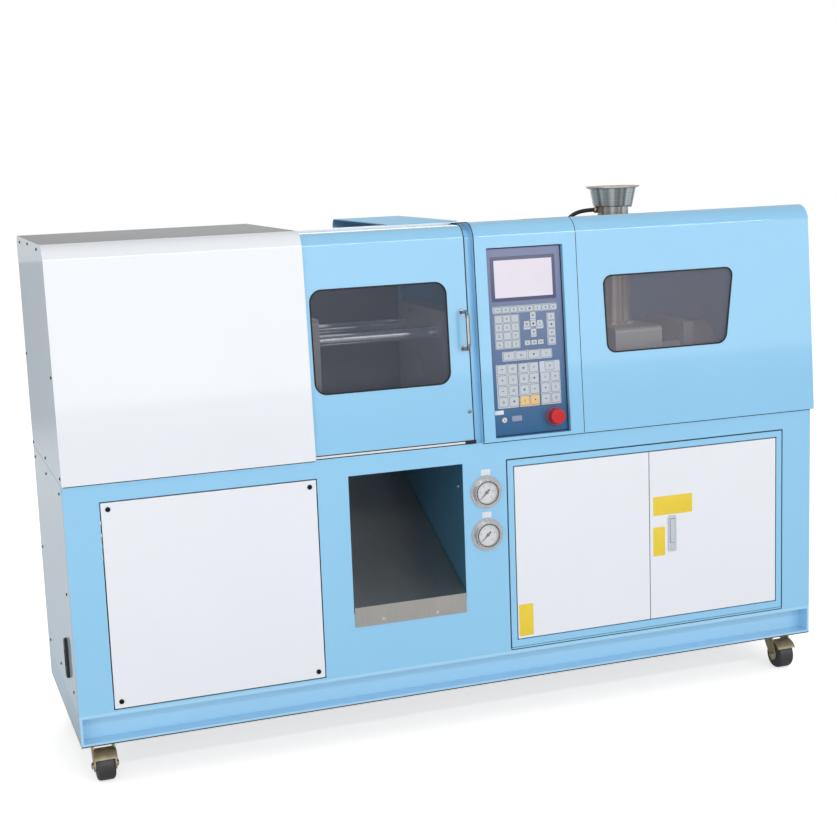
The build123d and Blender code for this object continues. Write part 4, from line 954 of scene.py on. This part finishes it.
TAG_RISE = 51 * MM
paper_white = moulded("paper_white", (236, 238, 242), 0.55, 0.02)
tag_seats = gauge_seats(front_edge, TAG_RISE, 0.5 * MM)
mount(plate(25, 15, 0.5, 1, 0.1), tag_seats, "gauge_tags", paper_white)

# %% [markdown]
# ## Plates on the doors
# Three small yellow plates are stuck to the cabinet doors. They are left blank here, with round
# corners and a soft edge, and each rides on the door that carries it. The latch has a push button.

# %% Blank plates and the latch's button
plate_yellow = moulded("plate_yellow", (247, 216, 62), 0.42, 0.02)
PLATES_MM = (
    ("left_door_plate", "left", 148, 261, 40, 84),
    ("right_door_plate", "right", 535.5, 422, 35, 78),
    ("notice_plate", "right", 577, 518, 116, 51),
)
for plate_name, side, x, z, width, height in PLATES_MM:
    place = seat(on_front(f"cabinet_door_{side}", x * MM, z * MM), "front")
    blank = plate(width, height, 0.6, 2.5, 0.15)
    mount(blank, [place], plate_name, plate_yellow, body=f"{side}_cabinet_door")

button_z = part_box("latch_housing")[0].z + 12 * MM
button_seat = seat((centre_of("latch_housing").x, front_edge - 3 * MM, button_z), "front")
mount(plate(11, 13, 1.6, 2.4, 0.5), [button_seat], "latch_button", latch_plastic, "latch_grey",
      "right_cabinet_door")

# %% [markdown]
# ## Window gaskets
# Both windows are clipped into the sheet with a black rubber section that shows as a thin dark
# line round the glass. The injection cover's window is cut narrower at its foot on the right.

# %% Gaskets
GASKET_SHEET = 1.1
GASKET_BAND = 3.6
COVER_WINDOW = 382
FOOT_SHARE = 0.912
foot_middle = -0.375 * COVER_WINDOW
door_frame = ring(352, 255, GASKET_SHEET, 31, GASKET_BAND, steps=8)
door_seat = seat(on_slope("safety_door", -0.20875, 1.019), "slope")
mount(door_frame, [door_seat], "door_gasket", *RUBBER_AND_SHADE, "safety_door")

cover_frame = ring(COVER_WINDOW, 200, GASKET_SHEET, 25, GASKET_BAND, FOOT_SHARE, foot_middle, 8)
cover_seat = seat(on_slope("injection_cover", 0.582, 1.035), "slope")
mount(cover_frame, [cover_seat], "cover_gasket", *RUBBER_AND_SHADE)

# %% [markdown]
# ## Black beads of painted shade along the seams
# Where two sheets meet, a thin black bead lies along the seam and draws the dark lines of the
# machine: the bead's black is painted shade, the shade in the gap between the sheets. On the covers
# a bead follows the bent outline: up the slope, round the bend and back along the roof.

# %% Beads on the bent covers
COVER_BEND = 45 * MM
COVER_FRONT, COVER_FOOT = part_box("clamp_cover")[0].yz
ROOF_RUN = 300 * MM


def cover_outline(x, inset, roof_run, fall=0.0, steps=10):
    """Points along a cover's outline at one section, so far behind its face."""
    last = math.radians(90 + fall)
    radius = COVER_BEND - inset
    corner_z = ROOF_HEIGHT - inset
    corner_y = COVER_FRONT + inset / math.cos(LEAN) + (corner_z - COVER_FOOT) * math.tan(LEAN)
    run = radius * math.tan((last - LEAN) / 2)
    start = Vector((x, corner_y, corner_z)) - run * UP_THE_SLOPE
    middle = start + radius * Vector((0, math.cos(LEAN), -math.sin(LEAN)))
    foot_z = COVER_FOOT + 2 * MM + inset
    points = [start - (start.z - foot_z) / math.cos(LEAN) * UP_THE_SLOPE]
    for step in range(steps + 1):
        angle = LEAN + (last - LEAN) * step / steps
        points.append(middle + radius * Vector((0, -math.cos(angle), math.sin(angle))))
    return points + [points[-1] + roof_run * Vector((0, math.sin(last), math.cos(last)))]


def bead(points, radius):
    """A round bead along a line of points, turned into a mesh."""
    take(round_line("bead", points, radius, "POLY", 2))
    bpy.ops.object.convert(target="MESH")
    return bpy.context.object


door_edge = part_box("safety_door")[1].x
column_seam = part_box("injection_cover")[0].x
column_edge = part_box("rear_guard")[1].x
# The bead along the door's right edge is painted shade of the gap between door and column.
door_bead = bead(cover_outline(door_edge - 1 * MM, 8 * MM, 60 * MM), 1.1 * MM)
fit(door_bead, "door_bead", *RUBBER_AND_SHADE, "safety_door")
# The beads at the column's edge and at the seam with the injection cover are painted shade of those
# gaps.
seam_beads = [
    bead(cover_outline(column_edge + 0.6 * MM, 0, ROOF_RUN, ROOF_DEGREES), 1.2 * MM),
    bead(cover_outline(column_seam - 0.5 * MM, 0.4 * MM, ROOF_RUN, ROOF_DEGREES), 1.0 * MM),
]
fit(gather(seam_beads), "seam_beads", *RUBBER_AND_SHADE)

# %% Seals under the covers and round the cabinet
SEAL_HEIGHT = 3.2
seal_z = COVER_FOOT - SEAL_HEIGHT * MM / 2


# Under each cover's foot a black strip runs along the base: a seal, and painted shadow of the
# cover's overhang.
def foot_seal(left, right):
    piece = plate((right - left) / MM, SEAL_HEIGHT, 0.8, 0.5, 0.1)
    piece.matrix_world = seat(((left + right) / 2, front_edge, seal_z), "front")
    return piece


cover_low, cover_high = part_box("clamp_cover")
injection_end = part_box("injection_cover")[1].x
seals = [
    foot_seal(cover_low.x + 4 * MM, cover_high.x),
    foot_seal(column_edge, injection_end - 9 * MM),
]
fit(gather(seals), "foot_shadow_seals", *RUBBER_AND_SHADE)

cabinet_ring = ring(*face_sides(*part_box("cabinet_box")), 0.6, 2, 1.8, steps=2)
cabinet_middle = centre_of("cabinet_box")
cabinet_seat = seat((cabinet_middle.x, front_edge, cabinet_middle.z), "front")
mount(cabinet_ring, [cabinet_seat], "cabinet_seal", *RUBBER_AND_SHADE)

# %% [markdown]
# ## Round the safety door
# Behind the mould a grey lining covers the rear guard; its grey in place of the blue is painted
# shade, for the dim mould space. The door's foot has a screw, and it runs against a rubber stop at
# the end of its lower rail.

# %% Lining of the mould space
LINING_MM = (425, 470, 2, 4)
LINING_Z = 0.98
lining_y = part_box("rear_guard")[1].y - 2.6 * MM
lining_spot = (centre_of("rear_guard").x, lining_y, LINING_Z)
# The lining's grey is painted shade of the mould space.
painted_shade_lining = moulded("painted_shade_lining", (136, 139, 149), 0.6, 0.1)
mount(plate(*LINING_MM), [seat(lining_spot, "front")], "rear_lining", painted_shade_lining)

# %% Door screw and stop
STOP_Z = 0.742
door_screw_seat = seat(on_slope("safety_door", 0.011, 0.819), "slope")
mount(button_screw(5, 2.6), [door_screw_seat], "door_screw", chrome, "chrome", "safety_door")

rails_low, rails_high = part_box("door_rails")
stop_seat = seat((rails_high.x - 15 * MM, rails_low.y, STOP_Z), "front")
mount(plate(28, 9, 3, 1), [stop_seat], "door_stop", *RUBBER_AND_SHADE)

# %% [markdown]
# ## Control panel
# The panel is a printed membrane: pale fields behind the keys, a thin dark outline round each key,
# a dark frame round the screen. The keys are separate solids, so their places are read from the
# frame: a merged copy is split into its loose parts and each part's box gives one key. Places on
# the panel are in millimetres from its middle.

# %% Fields behind the keys
PANEL_RECESS = 13
panel_x = (panel_low.x + panel_high.x) / 2
panel_z = (panel_low.z + panel_high.z) / 2
FIELDS_MM = {
    "strip": (-90, 72, 86, 90),
    "pad": (-87, -17, -19, 69),
    "arrows_across": (-8, 28, 47, 45),
    "arrows_up": (11, 8, 27, 65),
    "side_column": (56.5, -16, 80, 67),
    "middle_row": (-70, -48, 67, -23.5),
    "block_left": (-89, -166, -31, -55),
    "block_middle": (-29, -139, 27, -55),
    "block_right": (30.5, -166, 86.5, -55),
}
AMBER_FIELD_MM = (-29, -166, 27, -141)


def panel_seat(x, z, lift=0.0, turn=0.0):
    inset = (PANEL_RECESS - lift) * MM
    spot = on_slope("control_column", panel_x + x * MM, panel_z + z * MM, inset)
    return seat(spot, "slope", turn)


def field(left, foot, right, head):
    piece = plate(right - left, head - foot, 0.35, 3, 0.08)
    piece.matrix_world = panel_seat((left + right) / 2, (foot + head) / 2)
    return piece


field_pale = moulded("field_pale", (204, 211, 224), 0.4, 0.0)
field_amber = moulded("field_amber", (236, 200, 138), 0.4, 0.0)
fit(gather([field(*edges) for edges in FIELDS_MM.values()]), "key_fields", field_pale, "key_grey")
fit(gather([field(*AMBER_FIELD_MM)]), "amber_field", field_amber, "key_grey")

# %% Key outlines
KEY_LINE = 1.0


def loose_boxes(node):
    """The box of every separate solid in a CAD node, from a merged copy."""
    copy = bpy.data.objects.new("loose", nodes[node].data.copy())
    bpy.context.collection.objects.link(copy)
    take(copy)
    bpy.ops.object.mode_set(mode="EDIT")
    pick_all()
    bpy.ops.mesh.remove_doubles(threshold=0.01 * MM)
    bpy.ops.mesh.separate(type="LOOSE")
    bpy.ops.object.mode_set(mode="OBJECT")
    boxes = []
    for part in list(bpy.context.selected_objects):
        columns = list(zip(*[point.co for point in part.data.vertices]))
        boxes.append((Vector(map(min, columns)), Vector(map(max, columns))))
        bpy.data.objects.remove(part)
    return sorted(boxes, key=lambda box: (-round(box[0].z, 3), box[0].x))


def key_middle(low, high):
    return ((low.x + high.x) / 2 - panel_x) / MM, ((low.z + high.z) / 2 - panel_z) / MM


def key_outline(low, high):
    width, height = face_sides(low, high)
    piece = ring(width + 2 * KEY_LINE, height + 2 * KEY_LINE, 0.5, 2.2, KEY_LINE)
    piece.matrix_world = panel_seat(*key_middle(low, high))
    return piece


keys = loose_boxes("hmi_keys")
print("keys on the panel:", len(keys))
outline_grey = moulded("outline_grey", (92, 100, 120), 0.45, 0.0)
fit(gather([key_outline(*key) for key in keys]), "key_outlines", outline_grey, "panel_blue")

# %% Marks on the keys
DIGITS = "789456123-0."
ARROWS_X, ARROWS_Z = 19, 36.5
ARROWS_NEAR, ARROWS_FAR, ARROWS_ASIDE = 8, 26, 4
KEY_LIFT = 0.85
MARK_SHEET = 0.15


def arrowhead(size):
    piece = begin("circle", vertices=3, radius=size * MM, fill_type="NGON")
    raise_faces(MARK_SHEET)
    pick_all()
    bpy.ops.mesh.bevel(offset=0.03 * MM, segments=1, affect="EDGES")
    return close(piece)


def bar(width, height):
    return plate(width, height, MARK_SHEET, 0.15, 0.04)


SIGNS = (
    lambda: bar(6, 1.4),
    lambda: arrowhead(3),
    lambda: bar(1.6, 6),
    lambda: hoop(3, MARK_SHEET, 1.1),
    lambda: bar(4.6, 4.6),
)


def in_field(edges, x, z):
    left, foot, right, head = edges
    return left < x < right and foot < z < head


def key_mark(number, x, z):
    """A number on the pad, an arrow on the cross, and a plain sign on every other key."""
    if in_field(FIELDS_MM["pad"], x, z):
        return figure(DIGITS[number % len(DIGITS)], 9), 0
    across, up = x - ARROWS_X, z - ARROWS_Z
    on_ring = ARROWS_NEAR < math.hypot(across, up) < ARROWS_FAR
    if on_ring and min(abs(across), abs(up)) < ARROWS_ASIDE:
        return arrowhead(3), math.degrees(math.atan2(up, across)) - 90
    return SIGNS[number % len(SIGNS)](), 90 * (number % 4)


def marked_key(number, key):
    x, z = key_middle(*key)
    mark, turn = key_mark(number, x, z)
    mark.matrix_world = panel_seat(x, z, KEY_LIFT, turn)
    return mark


def amber_cap(low, high):
    width, height = face_sides(low, high)
    piece = plate(width - 1, height - 1, 0.12, 1.5, 0.03)
    piece.matrix_world = panel_seat(*key_middle(low, high), KEY_LIFT - 0.07)
    return piece


amber_keys = [key for key in keys if in_field(AMBER_FIELD_MM, *key_middle(*key))]
fit(gather([amber_cap(*key) for key in amber_keys]), "amber_caps", field_amber, "key_grey")
mark_ink = moulded("mark_ink", (70, 78, 98), 0.5, 0.0)
key_marks = [marked_key(*entry) for entry in enumerate(keys)]
fit(gather(key_marks), "key_marks", mark_ink, "panel_blue")

# %% Screen frame and panel edge
SCREEN_MARGIN = 9
EDGE_MM = (206, 473)
frame_violet = moulded("frame_violet", (88, 90, 124), 0.3, 0.0)
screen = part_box("hmi_screen")
screen_width, screen_height = face_sides(*screen)
screen_frame = plate(screen_width + 2 * SCREEN_MARGIN, screen_height + 2 * SCREEN_MARGIN,
                     0.7, 2, 0.1)
screen_seat = panel_seat(*key_middle(*screen))
mount(screen_frame, [screen_seat], "screen_frame", frame_violet, "panel_blue")
# The dark ring round the panel is painted shade: the shade at the edge of the panel's recess.
mount(ring(*EDGE_MM, 1.2, 4, 2), [panel_seat(0, 0)], "panel_recess_shade", *RUBBER_AND_SHADE)

# %% Lock, port cover and stop collar
LOCK_MM = (-73.4, -195.5)
PORT_MM = (-39, -194)
TAG_MM = (-86, -175.7)
STOP_MM = (64, -197)
cream = moulded("cream", (232, 226, 212), 0.4)
lilac = moulded("lilac", (150, 156, 184), 0.4)
rim_orange = moulded("rim_orange", (226, 78, 44), 0.32, 0.02)
mount(button_screw(7, 4), [panel_seat(*LOCK_MM)], "panel_lock", cream, "chrome")
# The lock's slot is a black bar: painted shade of the keyway.
mount(bar(1.6, 6), [panel_seat(*LOCK_MM, 2.1)], "lock_slot", print_black, "pointer_black")
mount(plate(28, 14, 2, 3, 0.8), [panel_seat(*PORT_MM)], "port_cover", lilac, "key_grey")
mount(plate(24, 10.6, 0.4, 0.8, 0.1), [panel_seat(*TAG_MM)], "panel_tag", paper_white)
mount(hoop(22.2, 9.5, 1.1, 10), [panel_seat(*STOP_MM)], "stop_collar", rim_orange, "stop_red")

# %% [markdown]
# ## Hopper fittings
# The hose is pushed onto a brass nipple and held by a hexagon nut. Opposite the hose a small lug
# closes the seam between bowl and tube.

# %% Nut and lug
brass = bare_steel("brass", (196, 166, 104), 0.26, (200, 200, 200))
nut_seat = Matrix.Translation((exit_x + 11 * MM, exit_y, exit_z)) @ turned(-90, "Y")
mount(hexagon_head(10, 7), [nut_seat], "hose_nut", brass, body="carriage")
lug_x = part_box("hopper")[1].x - 26 * MM
lug_seat = seat((lug_x, exit_y, exit_z + 7 * MM), "right")
mount(plate(12, 7, 9, 1.5, 1), [lug_seat], "hopper_lug", hopper_steel, "hopper_steel", "carriage")

# %% [markdown]
# ## Castors and the oil gauge
# A castor's axle is a bolt with a nut, and four bolts hold its plate under the rail. A hood
# between the fork's legs keeps threads off the wheel: a tube of which only a fifth is kept, made
# solid. The axle's heads and the hood swivel with the fork. The oil gauge is a black bar on two
# hollow bolts.

# %% Castor hoods and bolts
HOOD_RADIUS = 41 * MM
HOOD_WIDTH = 54 * MM
HOOD_FROM, HOOD_TO = 36, 104
AXLE_SIDE = 27 * MM
PLATE_BOLT_REACH = 34 * MM
zinc_bright = bare_steel("zinc_bright", (206, 200, 178), 0.3, (90, 90, 90))


def off_hood(face):
    return not HOOD_FROM < math.degrees(math.atan2(face.center.z, -face.center.y)) < HOOD_TO


def castor_hood():
    piece = begin("cylinder", vertices=72, radius=HOOD_RADIUS, depth=HOOD_WIDTH,
                  end_fill_type="NOTHING", rotation=(0, math.radians(90), 0))
    pick(piece, "FACE", "polygons", off_hood)
    bpy.ops.mesh.delete(type="FACE")
    pick_all()
    bpy.ops.mesh.solidify(thickness=1.6 * MM)
    return close(piece)


plate_seats = []
for corner in CORNERS:
    swivel = f"swivel_{corner}"
    fork = centre_of(f"castor_fork_{corner}")
    fork_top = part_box(f"castor_fork_{corner}")[1].z
    wheel = centre_of(f"castor_wheel_{corner}")
    axle = Vector((fork.x, wheel.y, wheel.z))
    hood_seat = Matrix.Translation(axle)
    mount(castor_hood(), [hood_seat], f"castor_hood_{corner}", zinc, "zinc_yellow", swivel)
    axle_seats = [
        seat(axle - AXLE_SIDE * RIGHTWARD, "left"),
        seat(axle + AXLE_SIDE * RIGHTWARD, "right"),
    ]
    axle_bolts = f"axle_bolts_{corner}"
    mount(hexagon_head(9, 5), axle_seats, axle_bolts, zinc_bright, "zinc_yellow", swivel)
    plate_seats += [
        seat((fork.x + across, fork.y + deep, fork_top), "down")
        for across in (-PLATE_BOLT_REACH, PLATE_BOLT_REACH)
        for deep in (-PLATE_BOLT_REACH, PLATE_BOLT_REACH)
    ]
mount(hexagon_head(6.5, 4), plate_seats, "castor_plate_bolts", zinc_bright, "zinc_yellow")

# %% Oil gauge bolts
OIL_BOLT_INSET = 22 * MM
oil_low, oil_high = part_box("oil_level_gauge")
oil_face = oil_low.x + 2.8 * MM
oil_heights = (oil_low.z + OIL_BOLT_INSET, oil_high.z - OIL_BOLT_INSET)
oil_seats = [seat((oil_face, oil_middle.y, z), "left") for z in oil_heights]
mount(hexagon_head(8, 2.4), oil_seats, "oil_gauge_bolts", bright_steel, "machined_steel")

# %% [markdown]
# ## Switchgear behind the doors
# With the cabinet open one sees a power supply with a vent, a row of contactors, a drive and a
# rail of terminals, joined by slotted wiring ducts. The modules are solids already, so only what
# gives them their scale is added: vent slots, terminal strips with their screws, rockers and the
# duct's slots.

# %% Vents and duct slots
MODULE_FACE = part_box("electrical_panel")[0].y
DUCT_FACE = MODULE_FACE + 40 * MM
DUCT_ROWS = (374, 400.6, 617.6, 644)
FINE_EDGE = 0.05


def row(left, right, step):
    """Even places from left to right, in millimetres, centred in the stretch."""
    count = int((right - left) / step)
    start = (left + right - (count - 1) * step) / 2
    return [start + index * step for index in range(count)]


def gear_seats(spots_mm, y=MODULE_FACE):
    return [seat((x * MM, y, z * MM), "front") for x, z in spots_mm]


# The vent slots and duct slots are black plates: painted shade of the openings.
vents = gear_seats([(231, z) for z in row(440, 570, 11)] + [(747, z) for z in row(500, 580, 11)])
mount(plate(72, 4, 0.4, 1.9, FINE_EDGE), vents, "gear_vents", black_rubber_and_shade)
slots = gear_seats([(x, z) for x in row(318, 878, 12.5) for z in DUCT_ROWS], DUCT_FACE)
mount(plate(5, 11, 0.4, 0.6, FINE_EDGE), slots, "duct_slots", black_rubber_and_shade)

# %% Terminal strips and rockers
STRIPS_MM = ((190, 273, 300), (319, 398, 456), (319, 398, 580), (668, 826, 440))
STRIP_SHEET = 6
CONTACTOR_MIDDLES = (459.4, 519.2, 579)
DRIVE_ROCKER = (358.5, 518)
strip_blocks = []
strip_screws = []
for left, right, z in STRIPS_MM:
    strip = plate(right - left, 22, STRIP_SHEET, 1.5, 0.6)
    strip.matrix_world = gear_seats([((left + right) / 2, z)])[0]
    strip_blocks.append(strip)
    strip_screws += [(x, z) for x in row(left, right, 12)]
fit(gather(strip_blocks), "terminal_strips", black_plastic)
rockers = gear_seats([(x, 517) for x in CONTACTOR_MIDDLES] + [DRIVE_ROCKER])
mount(plate(30, 46, 5, 3, 1.2), rockers, "gear_rockers", latch_plastic)

# %% Rail terminals and screws
TERMINAL_SHEET = 4
rail_row = row(318, 833, 13)
terminal_beige = moulded("terminal_beige", (205, 196, 170), 0.5)
terminals = gear_seats([(x, 300.3) for x in rail_row])
mount(plate(11.6, 62, TERMINAL_SHEET, 1, 0.5), terminals, "rail_terminals", terminal_beige)
contactor_screws = [
    (x + aside, z) for x in CONTACTOR_MIDDLES for aside in (-15, 0, 15) for z in (452, 584)
]
rail_screws = [(x, z) for x in rail_row for z in (280, 320.6)]
screw_seats = gear_seats(strip_screws, MODULE_FACE - STRIP_SHEET * MM)
screw_seats += gear_seats(contactor_screws)
screw_seats += gear_seats(rail_screws, MODULE_FACE - TERMINAL_SHEET * MM)
mount(button_screw(3.4, 1.6), screw_seats, "terminal_screws", bright_steel)
